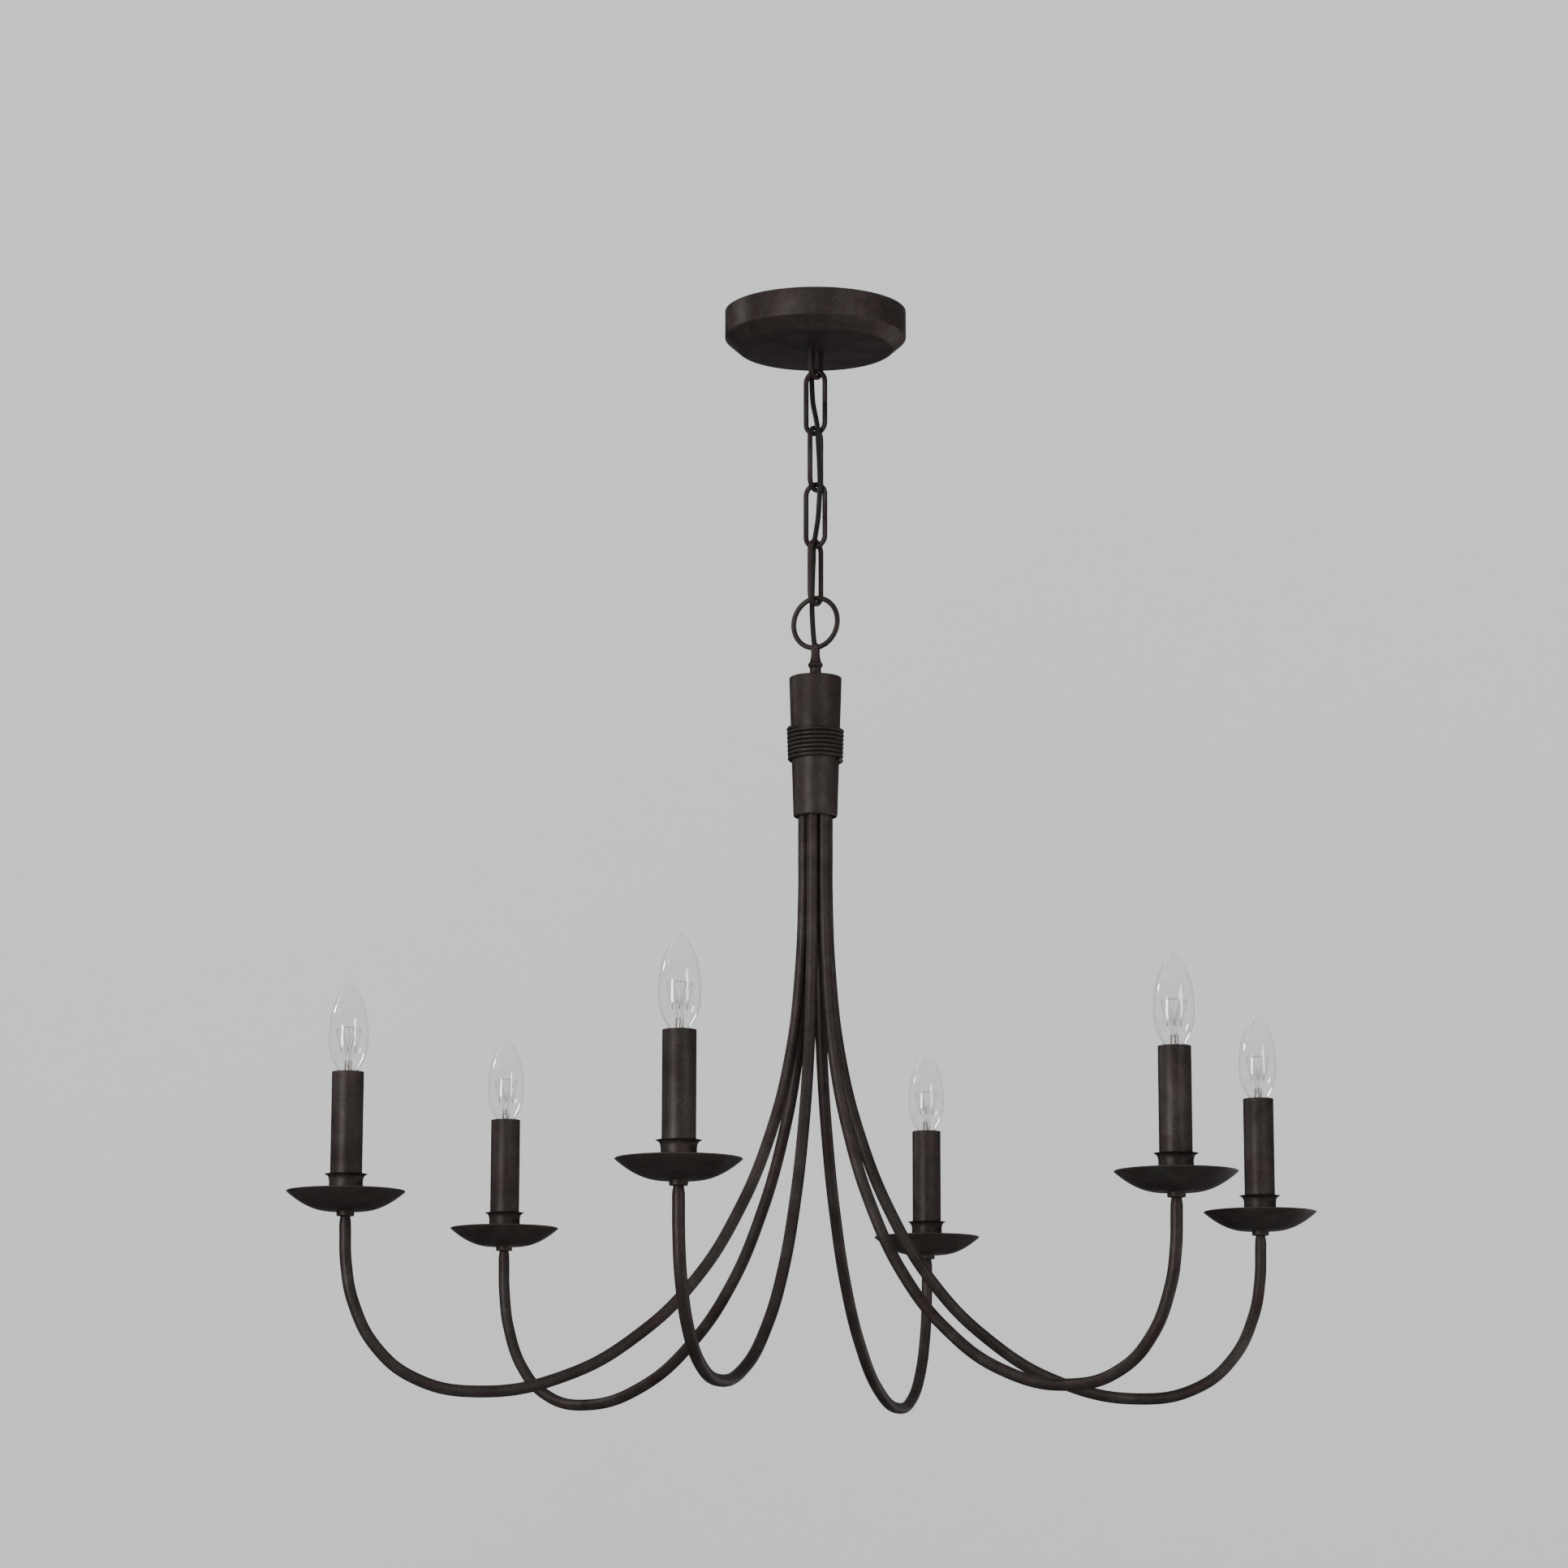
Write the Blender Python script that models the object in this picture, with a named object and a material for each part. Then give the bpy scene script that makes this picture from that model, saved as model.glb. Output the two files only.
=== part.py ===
"""A six-arm candle chandelier: ceiling canopy, four chain links, a ring, a hub and six lamps.

Units are metres and +Z is up. The origin is on the ceiling, at the centre of the canopy's rim.
The canopy's loop and links 2 and 4 lie in the YZ plane; the ring and links 1 and 3 in XZ.
"""

import math

import bmesh
import bpy
from mathutils import Vector

MM = 0.001
GAP = 0.3 * MM                 # between pieces that touch, rest on or are fixed to each other
SLIP = 0.3 * MM                # round a shank, tube or cord that passes through a hole

# canopy: a spun steel pan against the ceiling
CANOPY_RADIUS = 76.2 * MM
CANOPY_SIDE = 23.0 * MM        # straight side, down from the ceiling
CANOPY_FLOOR_RADIUS = 64.6 * MM
CANOPY_DEPTH = 33.0 * MM
CANOPY_WALL = 1.2 * MM
CANOPY_FOLD = 1.5 * MM         # the small radius at each change of direction

# crossbar, hidden inside the canopy
BAR_THICK = 2.5 * MM
BAR_WIDTH = 18.0 * MM
BAR_DROP = 7.0 * MM            # ceiling to the lowered middle's upper face
BAR_MIDDLE = 22.0 * MM         # half length of the lowered middle
BAR_SLOPE = 8.0 * MM           # run of each bend up to the ceiling
BAR_HALF = 56.0 * MM
BOX_SCREW_AT = 44.45 * MM      # a 3 1/2 in outlet-box screw spacing, halved
BOX_SCREW_HOLE = 2.4 * MM      # radius
NUT_WALL = 1.07 * MM           # bore to the corners
NUT_HEIGHT = 3.2 * MM

# loop, chain and ring: bent round steel wire
WIRE = 2.15 * MM               # radius
LINK_HALF = 9.1 * MM           # middle of the wire to the link's long axis
LINK_LENGTH = 53.3 * MM        # between the middles of the wire at both ends
LINKS = 4
LOOP_REACH = 23.4 * MM         # canopy floor to the middle of the loop's wire
LOOP_LEG_TOP = -2.6 * MM
RING_RADIUS = 20.95 * MM       # middle of the wire

# eye stem: the turned piece that hangs on the ring and carries the hub
EYE_PLAY = 0.7 * MM            # round the ring's wire
EYE_SIDE = 0.85 * MM           # metal left beside the hole, and over it
EYE_OVER = 1.05 * MM
BEAD_RADIUS = 6.2 * MM
WAIST_RADIUS = 4.8 * MM
STEM_LENGTH = 25.4 * MM        # ring wire's middle to the hub's top
SHANK_RADIUS = 2.8 * MM

# hub: tapered sleeve over the tops of the arms
HUB_PLAY = 2.0 * MM            # between the arms and the sleeve's lower end
HUB_TAPER = 3.6 * MM           # top radius less bottom radius
HUB_LENGTH = 117.5 * MM
HUB_WALL = 1.5 * MM
HUB_LIP = 3.0 * MM             # rounding of the bottom edge
CORE_SHOULDER = (6.0 * MM, 16.0 * MM)    # radius, length
CORE_PLATE = 4.0 * MM
CORE_ROD_LENGTH = 36.0 * MM
WRAP_WIRE = 1.6 * MM           # radius
WRAP_TURNS = 7.65
WRAP_BELOW_TOP = 43.7 * MM     # hub top to the middle of the first turn
WRAP_START = math.radians(245)

# arms: bent tube, all six alike
ARMS = 6
ARM_TURN = math.radians(-15)   # first arm's bearing, from +X
TUBE = 4.8 * MM                # radius
TUBE_WALL = 1.0 * MM
ARM_REACH = 384.2 * MM         # chandelier's axis to the upright tip
ARM_SPLIT = 62.4 * MM          # hub bottom to where the arms begin to part
ARM_DROP = 410.7 * MM          # from there to the lowest point
ARM_RISE = 129.6 * MM          # lowest point to the shoulder under the tip
TIP_RADIUS = 3.85 * MM         # threaded tip
TIP_BARE = 6.6 * MM            # shoulder to the collar
# shares of the way out and of the way down, hub to lowest point
SWEEP_DOWN = (
    (0.0, 0.0), (0.0075, 0.164), (0.029, 0.327), (0.074, 0.487), (0.147, 0.645),
    (0.238, 0.775), (0.358, 0.882), (0.521, 0.967), (0.714, 1.0),
)
# shares of the way out and of the rise, lowest point to the shoulder
SWEEP_UP = ((0.847, 0.0765), (0.930, 0.262), (0.9795, 0.527), (0.9965, 0.761))

# drip dish, cup and candle sleeve, stacked on each tip
COLLAR_RADIUS = 7.05 * MM
COLLAR_HEIGHT = 4.0 * MM
DISH_RADIUS = 47.15 * MM
DISH_DEPTH = 15.5 * MM
DISH_WALL = 1.0 * MM
DISH_CURVE = 1.9               # power of the rise from the flat middle to the rim
CUP_WALL = 0.5 * MM
CUP_FIT = 0.2 * MM             # between the cup and the sleeve in it
CUP_HEIGHT = 27.8 * MM
CUP_FLARE = 5.5 * MM           # height of the trumpet mouth
CUP_MOUTH_RADIUS = 17.2 * MM
SLEEVE_RADIUS = 12.7 * MM
SLEEVE_WALL = 1.0 * MM
SLEEVE_LENGTH = 108.3 * MM
TIP_STAND = 14.0 * MM          # how far the threaded tip stands above the cup's floor

# lamp and its socket, candelabra size
BASE_RADIUS = 5.95 * MM
BASE_LENGTH = 22.0 * MM
SOCKET_WALL = 2.6 * MM
SOCKET_BELOW = 6.0 * MM        # sleeve's top edge down to the socket's mouth
POST_RADIUS = 6.2 * MM
BULB_RADIUS = 15.9 * MM
BULB_HEIGHT = 72.6 * MM        # above the sleeve's top edge
BULB_WALL = 0.8 * MM
FLARE_RADIUS = 2.85 * MM       # the glass stem inside, and its thin upper rod
FLARE_TOP = 8.4 * MM
ROD_RADIUS = 1.25 * MM
ROD_TOP = 36.4 * MM
# shares of the bulb's radius and of its height above the sleeve's edge
BULB_OUTLINE = (
    (0.49, 0.0), (0.77, 0.115), (0.91, 0.20), (0.99, 0.30), (1.0, 0.38), (0.95, 0.56),
    (0.79, 0.73), (0.49, 0.88), (0.20, 0.975),
)

# supply cord, woven through the chain: its route, in millimetres
CORD_RADIUS = 2.2 * MM
CORD_ROUTE = (
    (-6.5, 6.2, -22), (-6.5, 6.2, -33), (-6.8, 5.6, -44), (-6.6, 5.0, -54.5),
    (-4.9, 3.0, -68), (-2.2, 0.0, -80), (2.4, -3.4, -93), (4.95, -5.0, -103),
    (5.8, -5.2, -116), (6.8, -5.1, -133), (7.2, -5.0, -151), (5.4, -3.2, -165),
    (2.4, 0.2, -178), (-2.0, 4.0, -190), (-4.8, 5.4, -200.5), (-5.2, 5.4, -212),
    (-5.8, 5.1, -230), (-6.2, 5.0, -249), (-5.9, 5.1, -262), (-5.2, 5.6, -276),
    (-4.4, 6.4, -287.5), (-4.5, 7.7, -302), (-4.6, 8.1, -314), (-4.6, 8.1, -323),
)
CORD_STEP = 9.0 * MM

# sizes that follow. Heights are below the ceiling at zero
FLOOR = -CANOPY_DEPTH
LINK_PITCH = LINK_LENGTH - 2 * WIRE - GAP
LOOP_BOTTOM = FLOOR - LOOP_REACH
LINK_TOPS = [LOOP_BOTTOM + 2 * WIRE + GAP - n * LINK_PITCH for n in range(LINKS)]
LINK_PIVOTS = [LOOP_BOTTOM - n * LINK_PITCH for n in range(LINKS)]
RING_PIVOT = LOOP_BOTTOM - LINKS * LINK_PITCH
RING_TOP = RING_PIVOT + 2 * WIRE + GAP
HUB_PIVOT = RING_TOP - 2 * RING_RADIUS
EYE_HOLE = WIRE + EYE_PLAY
EYE_RADIUS = EYE_HOLE + EYE_SIDE
EYE_TOP = EYE_HOLE + EYE_OVER            # hole's middle to the rounded top
HUB_TOP = HUB_PIVOT - STEM_LENGTH
HUB_BOTTOM = HUB_TOP - HUB_LENGTH
PLATE_TOP = HUB_TOP - HUB_WALL - GAP - CORE_SHOULDER[1]
ARM_TOP = PLATE_TOP - CORE_PLATE - GAP
BUNDLE = (2 * TUBE + GAP) / (2 * math.sin(math.pi / ARMS))   # circle of the arms' tops
HUB_BOTTOM_RADIUS = BUNDLE + TUBE + HUB_PLAY + HUB_WALL
HUB_TOP_RADIUS = HUB_BOTTOM_RADIUS + HUB_TAPER
SPLIT = HUB_BOTTOM - ARM_SPLIT
LOWEST = SPLIT - ARM_DROP
SHOULDER = LOWEST + ARM_RISE
COLLAR_BOTTOM = SHOULDER + TIP_BARE
DISH_BOTTOM = COLLAR_BOTTOM + COLLAR_HEIGHT
CUP_BOTTOM = DISH_BOTTOM + DISH_WALL + GAP
SLEEVE_BOTTOM = CUP_BOTTOM + CUP_WALL + GAP
SLEEVE_TOP = SLEEVE_BOTTOM + SLEEVE_LENGTH
TIP_TOP = CUP_BOTTOM + TIP_STAND
SOCKET_MOUTH = SLEEVE_TOP - SOCKET_BELOW
TIP_HOLE = TIP_RADIUS + SLIP
CUP_RADIUS = SLEEVE_RADIUS + CUP_FIT + CUP_WALL
DISH_FLAT = CUP_RADIUS + 2 * GAP         # radius of the flat middle that the cup stands on

LAMP_SIDES = 12                # pieces that nest share their number of sides
WIRE_SIDES = 2                 # bevel resolution that gives eight sides


def clear_scene():
    for obj in list(bpy.data.objects):
        bpy.data.objects.remove(obj, do_unlink=True)


def material(name, colour, metallic, roughness, transmission=0.0):
    made = bpy.data.materials.new(name)
    made.use_nodes = True
    shader = made.node_tree.nodes["Principled BSDF"]
    shader.inputs["Base Color"].default_value = (*colour, 1.0)
    shader.inputs["Metallic"].default_value = metallic
    shader.inputs["Roughness"].default_value = roughness
    shader.inputs["Transmission Weight"].default_value = transmission
    return made


def world_of(obj):
    """Where an object's origin is. Nothing that has children is turned."""
    at = obj.location.copy()
    while obj.parent:
        obj = obj.parent
        at += obj.location
    return at


def pivot(name, height, parent=None):
    """An empty on a joint's axis. The pieces that move with that joint hang from it."""
    empty = bpy.data.objects.new(name, None)
    bpy.context.scene.collection.objects.link(empty)
    empty.parent = parent
    empty.location = Vector((0, 0, height)) - (world_of(parent) if parent else Vector())
    return empty


def add(name, data, look, parent, at=(0, 0, 0), turn=0.0):
    """An object with its origin at the point at, in world coordinates, turned about Z."""
    obj = bpy.data.objects.new(name, data)
    bpy.context.scene.collection.objects.link(obj)
    if not data.materials:
        data.materials.append(look)
    obj.parent = parent
    obj.location = Vector(at) - world_of(parent)
    obj.rotation_euler.z = turn
    return obj


def mesh_from(bm, name, smooth_under=math.radians(40)):
    bmesh.ops.recalc_face_normals(bm, faces=bm.faces)
    mesh = bpy.data.meshes.new(name)
    bm.to_mesh(mesh)
    bm.free()
    mesh.shade_smooth()
    mesh.set_sharp_from_angle(angle=smooth_under)
    return mesh


def turned(name, outline, sides, closed=True):
    """A solid of revolution about Z. The outline holds (radius, height) pairs. An open one
    starts and ends on the axis, a closed one is the section of a ring or a wall."""
    bm = bmesh.new()
    verts = [bm.verts.new((radius, 0, height)) for radius, height in outline]
    edges = [bm.edges.new(pair) for pair in zip(verts, verts[1:])]
    if closed:
        edges.append(bm.edges.new((verts[-1], verts[0])))
    bmesh.ops.spin(
        bm, geom=verts + edges, cent=(0, 0, 0), axis=(0, 0, 1),
        angle=math.tau, steps=sides, use_merge=True, use_duplicate=False,
    )
    bmesh.ops.remove_doubles(bm, verts=bm.verts, dist=1e-7)
    bmesh.ops.dissolve_degenerate(bm, dist=1e-7, edges=bm.edges)
    return mesh_from(bm, name)


def rod_curve(name, points, radius, closed=False, radii=None, kind="POLY", sides=WIRE_SIDES):
    """Round bar along points."""
    curve = bpy.data.curves.new(name, "CURVE")
    curve.dimensions = "3D"
    curve.bevel_depth = radius
    curve.bevel_resolution = sides
    curve.use_fill_caps = not closed
    spline = curve.splines.new(kind)
    spline.use_cyclic_u = closed
    scales = radii or [1.0] * len(points)
    if kind == "BEZIER":
        spline.resolution_u = 2
        curve.resolution_u = 2
        spline.bezier_points.add(len(points) - 1)
        for knot, point, scale in zip(spline.bezier_points, points, scales):
            knot.co = point
            knot.handle_left_type = knot.handle_right_type = "AUTO"
            knot.radius = scale
    else:
        spline.points.add(len(points) - 1)
        for knot, point, scale in zip(spline.points, points, scales):
            knot.co = (*point, 1.0)
            knot.radius = scale
    return curve


def drill(obj, name, holes, radius, sides=12):
    """Cuts round holes. Each hole is (middle, direction, length), in the object's space."""
    bm = bmesh.new()
    for middle, direction, length in holes:
        aim = Vector((0, 0, 1)).rotation_difference(Vector(direction)).to_matrix().to_4x4()
        aim.translation = Vector(middle)
        bmesh.ops.create_cone(
            bm, cap_ends=True, segments=sides, radius1=radius, radius2=radius,
            depth=length, matrix=aim,
        )
    cutter = bpy.data.objects.new(name, mesh_from(bm, name))
    bpy.context.scene.collection.objects.link(cutter)
    cutter.parent = obj
    cutter.hide_render = True
    cutter.display_type = "WIRE"
    cut = obj.modifiers.new(name, "BOOLEAN")
    cut.operation = "DIFFERENCE"
    cut.object = cutter


def arc(centre, radius, start, end, steps):
    """(across, up) points round a circle, both ends included. Angles are in degrees."""
    angles = [math.radians(start + (end - start) * n / steps) for n in range(steps + 1)]
    return [(centre[0] + radius * math.cos(a), centre[1] + radius * math.sin(a)) for a in angles]


def in_plane(points, across):
    """(across, up) points stood up in the XZ or the YZ plane."""
    return [(a, 0, b) if across == "X" else (0, a, b) for a, b in points]


# ---------------------------------------------------------------- ceiling pieces

def make_canopy(parent, look):
    slope = math.degrees(math.atan2(
        CANOPY_DEPTH - CANOPY_SIDE, CANOPY_RADIUS - CANOPY_FLOOR_RADIUS))
    wall, fold = CANOPY_WALL, CANOPY_FOLD
    outline = [
        (0, FLOOR + wall), (CANOPY_FLOOR_RADIUS - fold, FLOOR + wall),
        (CANOPY_FLOOR_RADIUS, FLOOR + wall + fold * 0.2),
        (CANOPY_RADIUS - wall, -CANOPY_SIDE + fold * 0.5),
        (CANOPY_RADIUS - wall, 0), (CANOPY_RADIUS, 0), (CANOPY_RADIUS, -CANOPY_SIDE + fold),
        (CANOPY_RADIUS - fold * 0.6, -CANOPY_SIDE - fold * 0.4),
        (CANOPY_FLOOR_RADIUS + fold, FLOOR + fold * math.tan(math.radians(slope))),
        (CANOPY_FLOOR_RADIUS - fold, FLOOR), (0, FLOOR),
    ]
    canopy = add("canopy", turned("canopy", outline, 30, closed=False), look, parent)
    legs = [((0, side * LINK_HALF, FLOOR), (0, 0, 1), 8 * wall) for side in (-1, 1)]
    drill(canopy, "cut_canopy_legs", legs, WIRE + SLIP)
    x, y, _ = CORD_ROUTE[1]
    drill(canopy, "cut_canopy_cord", [((x * MM, y * MM, FLOOR), (0, 0, 1), 8 * wall)],
          CORD_RADIUS + 2 * SLIP)


def make_crossbar(parent, look):
    """A strap along Y with a lowered middle. Its raised ends meet the ceiling."""
    upper = [
        (-BAR_HALF, 0), (-BAR_MIDDLE - BAR_SLOPE, 0), (-BAR_MIDDLE, -BAR_DROP),
        (BAR_MIDDLE, -BAR_DROP), (BAR_MIDDLE + BAR_SLOPE, 0), (BAR_HALF, 0),
    ]
    lower = [(y, z - BAR_THICK) for y, z in reversed(upper)]
    bm = bmesh.new()
    section = [bm.verts.new((-BAR_WIDTH / 2, y, z)) for y, z in upper + lower]
    face = bm.faces.new(section)
    grown = bmesh.ops.extrude_face_region(bm, geom=[face])["geom"]
    moved = [v for v in grown if isinstance(v, bmesh.types.BMVert)]
    bmesh.ops.translate(bm, verts=moved, vec=(BAR_WIDTH, 0, 0))
    bar = add("crossbar", mesh_from(bm, "crossbar"), look, parent)
    middle = -BAR_DROP - BAR_THICK / 2
    legs = [((0, side * LINK_HALF, middle), (0, 0, 1), 4 * BAR_THICK) for side in (-1, 1)]
    drill(bar, "cut_bar_legs", legs, WIRE + SLIP)
    ends = [((0, side * BOX_SCREW_AT, 0), (0, 0, 1), 4 * BAR_THICK) for side in (-1, 1)]
    drill(bar, "cut_bar_screws", ends, BOX_SCREW_HOLE)


def make_loop(parent, look):
    """The U of wire under the canopy. Its legs run up through the canopy to the crossbar."""
    bend = LOOP_BOTTOM + LINK_HALF
    points = [(-LINK_HALF, LOOP_LEG_TOP)]
    points += arc((0, bend), LINK_HALF, 180, 360, 12)
    points += [(LINK_HALF, LOOP_LEG_TOP)]
    add("canopy_loop", rod_curve("canopy_loop", in_plane(points, "Y"), WIRE), look, parent)


def make_loop_nuts(parent, look):
    """A hexagon nut on each of the loop's legs, on top of the crossbar."""
    bottom = -BAR_DROP + GAP
    bore = (WIRE + SLIP) / math.cos(math.pi / 6)
    corner = bore + NUT_WALL
    outline = [(bore, bottom), (corner, bottom),
               (corner, bottom + NUT_HEIGHT), (bore, bottom + NUT_HEIGHT)]
    nut = turned("loop_nut", outline, 6)
    for n, side in enumerate((-1, 1)):
        add(f"loop_nut_{n + 1}", nut, look, parent, (0, side * LINK_HALF, 0))


# ---------------------------------------------------------------- chain and ring

def link_curve(name, across):
    """One closed link, its origin at the pivot that it swings on."""
    top = 2 * WIRE + GAP
    upper, lower = top - LINK_HALF, top - LINK_LENGTH + LINK_HALF
    points = arc((0, upper), LINK_HALF, 0, 180, 9) + arc((0, lower), LINK_HALF, 180, 360, 9)
    return rod_curve(name, in_plane(points, across), WIRE, closed=True)


def make_chain(parent, look):
    """Four links, each hung on the one before. Returns the last link's pivot."""
    for n, height in enumerate(LINK_PIVOTS):
        parent = pivot(f"pivot_link_{n + 1}", height, parent)
        across = "YX"[(n + 1) % 2]
        add(f"chain_link_{n + 1}", link_curve("chain_link", across), look, parent,
            (0, 0, height))
    return parent


def make_ring(parent, look):
    middle = RING_TOP - RING_RADIUS - RING_PIVOT
    points = arc((0, middle), RING_RADIUS, 0, 360, 20)[:-1]
    curve = rod_curve("hanging_ring", in_plane(points, "X"), WIRE, closed=True)
    add("hanging_ring", curve, look, parent, (0, 0, RING_PIVOT))


# ---------------------------------------------------------------- hub

def make_eye_stem(parent, look):
    """Turned stem with a cross hole for the ring and a blind hole for the core's shank."""
    foot = HUB_TOP + GAP - HUB_PIVOT
    blind = foot + 6.4 * MM
    outline = [
        (0, EYE_TOP), (EYE_RADIUS * 0.62, EYE_TOP - 0.5 * MM),
        (EYE_RADIUS, EYE_TOP - 2.2 * MM), (EYE_RADIUS, -7.5 * MM),
        (WAIST_RADIUS, -12.0 * MM), (BEAD_RADIUS, -14.2 * MM),
        (BEAD_RADIUS, -15.4 * MM), (WAIST_RADIUS, -18.5 * MM),
        (WAIST_RADIUS, -20.0 * MM), (WAIST_RADIUS + 1.0 * MM, foot),
        (SHANK_RADIUS + SLIP, foot), (SHANK_RADIUS + SLIP, blind), (0, blind),
    ]
    mesh = turned("eye_stem", outline, 16, closed=False)
    stem = add("eye_stem", mesh, look, parent, (0, 0, HUB_PIVOT))
    drill(stem, "cut_stem_eye", [((0, 0, 0), (1, 0, 0), 4 * EYE_RADIUS)], EYE_HOLE)


def hub_radius(height):
    """Outer radius of the hub's straight taper at a height."""
    share = (HUB_TOP - height) / HUB_LENGTH
    return HUB_TOP_RADIUS + (HUB_BOTTOM_RADIUS - HUB_TOP_RADIUS) * share


def make_hub_sleeve(parent, look):
    """Tapered tube, closed at the top but for the shank's and the cord's holes."""
    edge = 1.5 * MM
    ceiling = HUB_TOP - HUB_WALL
    lip = HUB_BOTTOM + HUB_LIP
    outline = [
        (SHANK_RADIUS + SLIP, HUB_TOP), (HUB_TOP_RADIUS - edge, HUB_TOP),
        (HUB_TOP_RADIUS - edge * 0.3, HUB_TOP - edge * 0.3),
        (hub_radius(HUB_TOP - edge), HUB_TOP - edge),
        (hub_radius(lip), lip), (HUB_BOTTOM_RADIUS - HUB_WALL * 0.35, HUB_BOTTOM),
        (HUB_BOTTOM_RADIUS - HUB_WALL, HUB_BOTTOM),
        (hub_radius(lip) - HUB_WALL, lip),
        (hub_radius(ceiling) - HUB_WALL, ceiling), (SHANK_RADIUS + SLIP, ceiling),
    ]
    sleeve = add("hub_sleeve", turned("hub_sleeve", outline, 24), look, parent)
    x, y, _ = CORD_ROUTE[-2]
    drill(sleeve, "cut_hub_cord", [((x * MM, y * MM, HUB_TOP), (0, 0, 1), 6 * HUB_WALL)],
          CORD_RADIUS + SLIP)


def make_hub_core(parent, look):
    """Rod that the arms are brazed round, with a plate over their ends and a threaded shank."""
    shoulder_radius, shoulder_length = CORE_SHOULDER
    shoulder = HUB_TOP - HUB_WALL - GAP
    plate_radius = hub_radius(PLATE_TOP - CORE_PLATE) - HUB_WALL - 2 * GAP
    rod_radius = BUNDLE - TUBE - GAP
    rod_end = ARM_TOP - CORE_ROD_LENGTH
    outline = [
        (0, HUB_TOP + 6.0 * MM), (SHANK_RADIUS, HUB_TOP + 6.0 * MM),
        (SHANK_RADIUS, shoulder), (shoulder_radius, shoulder),
        (shoulder_radius, shoulder - shoulder_length), (plate_radius, PLATE_TOP),
        (plate_radius, PLATE_TOP - CORE_PLATE), (rod_radius, PLATE_TOP - CORE_PLATE),
        (rod_radius, rod_end), (0, rod_end),
    ]
    core = add("hub_core", turned("hub_core", outline, 16, closed=False), look, parent)
    middle = PLATE_TOP - CORE_PLATE / 2
    wires = []
    for n in range(ARMS):
        bearing = ARM_TURN + math.tau * n / ARMS
        at = ((BUNDLE + 1.6 * MM) * math.cos(bearing), (BUNDLE + 1.6 * MM) * math.sin(bearing))
        wires.append(((*at, middle), (0, 0, 1), 4 * CORE_PLATE))
    drill(core, "cut_core_wires", wires, TUBE - TUBE_WALL - 1.4 * MM, sides=8)


def make_wrap(parent, look):
    """Close coil of wire round the hub. It follows the taper."""
    pitch = 2 * WRAP_WIRE + GAP
    per_turn = 12
    steps = round(WRAP_TURNS * per_turn)
    outward = 1 / math.cos(math.pi / per_turn)      # keeps the coil's chords clear of the hub
    points = []
    for n in range(steps + 1):
        turn = WRAP_TURNS * n / steps
        height = HUB_TOP - WRAP_BELOW_TOP - pitch * turn
        radius = (hub_radius(height + WRAP_WIRE) + WRAP_WIRE + GAP) * outward
        angle = WRAP_START - math.tau * turn
        points.append((radius * math.cos(angle), radius * math.sin(angle), height))
    curve = rod_curve("wire_wrap", points, WRAP_WIRE, sides=1)
    add("wire_wrap", curve, look, parent)


# ---------------------------------------------------------------- arms and what stands on them

def arm_points():
    """An arm's middle line in the XZ plane, from the hub's core to the threaded tip."""
    points = [(BUNDLE, ARM_TOP), (BUNDLE, (HUB_BOTTOM + SPLIT) / 2)]
    out = ARM_REACH - BUNDLE
    points += [(BUNDLE + out * a, SPLIT - ARM_DROP * b) for a, b in SWEEP_DOWN]
    points += [(BUNDLE + out * a, LOWEST + ARM_RISE * b) for a, b in SWEEP_UP]
    bends = len(points)
    points += [(ARM_REACH, SHOULDER - 1.5 * MM), (ARM_REACH, SHOULDER), (ARM_REACH, TIP_TOP)]
    return in_plane(points, "X"), [1.0] * (bends + 1) + [TIP_RADIUS / TUBE] * 2


def make_arms(parent, look):
    points, radii = arm_points()
    curve = rod_curve("arm", points, TUBE, radii=radii, kind="BEZIER", sides=1)
    curve.use_fill_caps = False
    for n in range(ARMS):
        arm = add(f"arm_{n + 1}", curve, look, parent, (0, 0, 0), ARM_TURN + math.tau * n / ARMS)
        hollow = arm.modifiers.new("tube_wall", "SOLIDIFY")
        hollow.thickness = TUBE_WALL
        hollow.offset = -1.0


def tip_places():
    """Each arm's number and bearing, and where its tip stands."""
    for n in range(ARMS):
        bearing = ARM_TURN + math.tau * n / ARMS
        yield n + 1, bearing, (ARM_REACH * math.cos(bearing), ARM_REACH * math.sin(bearing))


def dish_mesh():
    """Shallow spun dish with a thin rim, a hole for the tip, and its collar brazed on below."""
    outer = [(TIP_HOLE, -COLLAR_HEIGHT), (COLLAR_RADIUS, -COLLAR_HEIGHT), (COLLAR_RADIUS, 0)]
    inner = [(TIP_HOLE, DISH_WALL)]
    for share in (0.0, 0.25, 0.5, 0.75, 1.0):
        radius = DISH_FLAT + (DISH_RADIUS - DISH_FLAT) * share
        height = DISH_DEPTH * share**DISH_CURVE
        outer.append((radius, height))
        inner.append((radius - DISH_WALL * share * 0.6, height + DISH_WALL * (1 - 0.4 * share)))
    return turned("drip_dish", outer + inner[::-1], 16)


def cup_mesh():
    """Candle cup: straight body with a trumpet mouth."""
    inside = SLEEVE_RADIUS + CUP_FIT
    body = CUP_RADIUS
    start = CUP_HEIGHT - CUP_FLARE
    spread = CUP_MOUTH_RADIUS - body
    outer = [(TIP_HOLE, 0), (body, 0), (body, start)]
    outer += [(body + spread * a, start + CUP_FLARE * b)
              for a, b in ((0.12, 0.45), (0.42, 0.80), (1.0, 1.0))]
    inner = [(body + spread * 0.86 - CUP_WALL, CUP_HEIGHT),
             (body + spread * 0.12 - CUP_WALL, start + CUP_FLARE * 0.5),
             (inside, start), (inside, CUP_WALL), (TIP_HOLE, CUP_WALL)]
    return turned("candle_cup", outer + inner, LAMP_SIDES)


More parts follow.
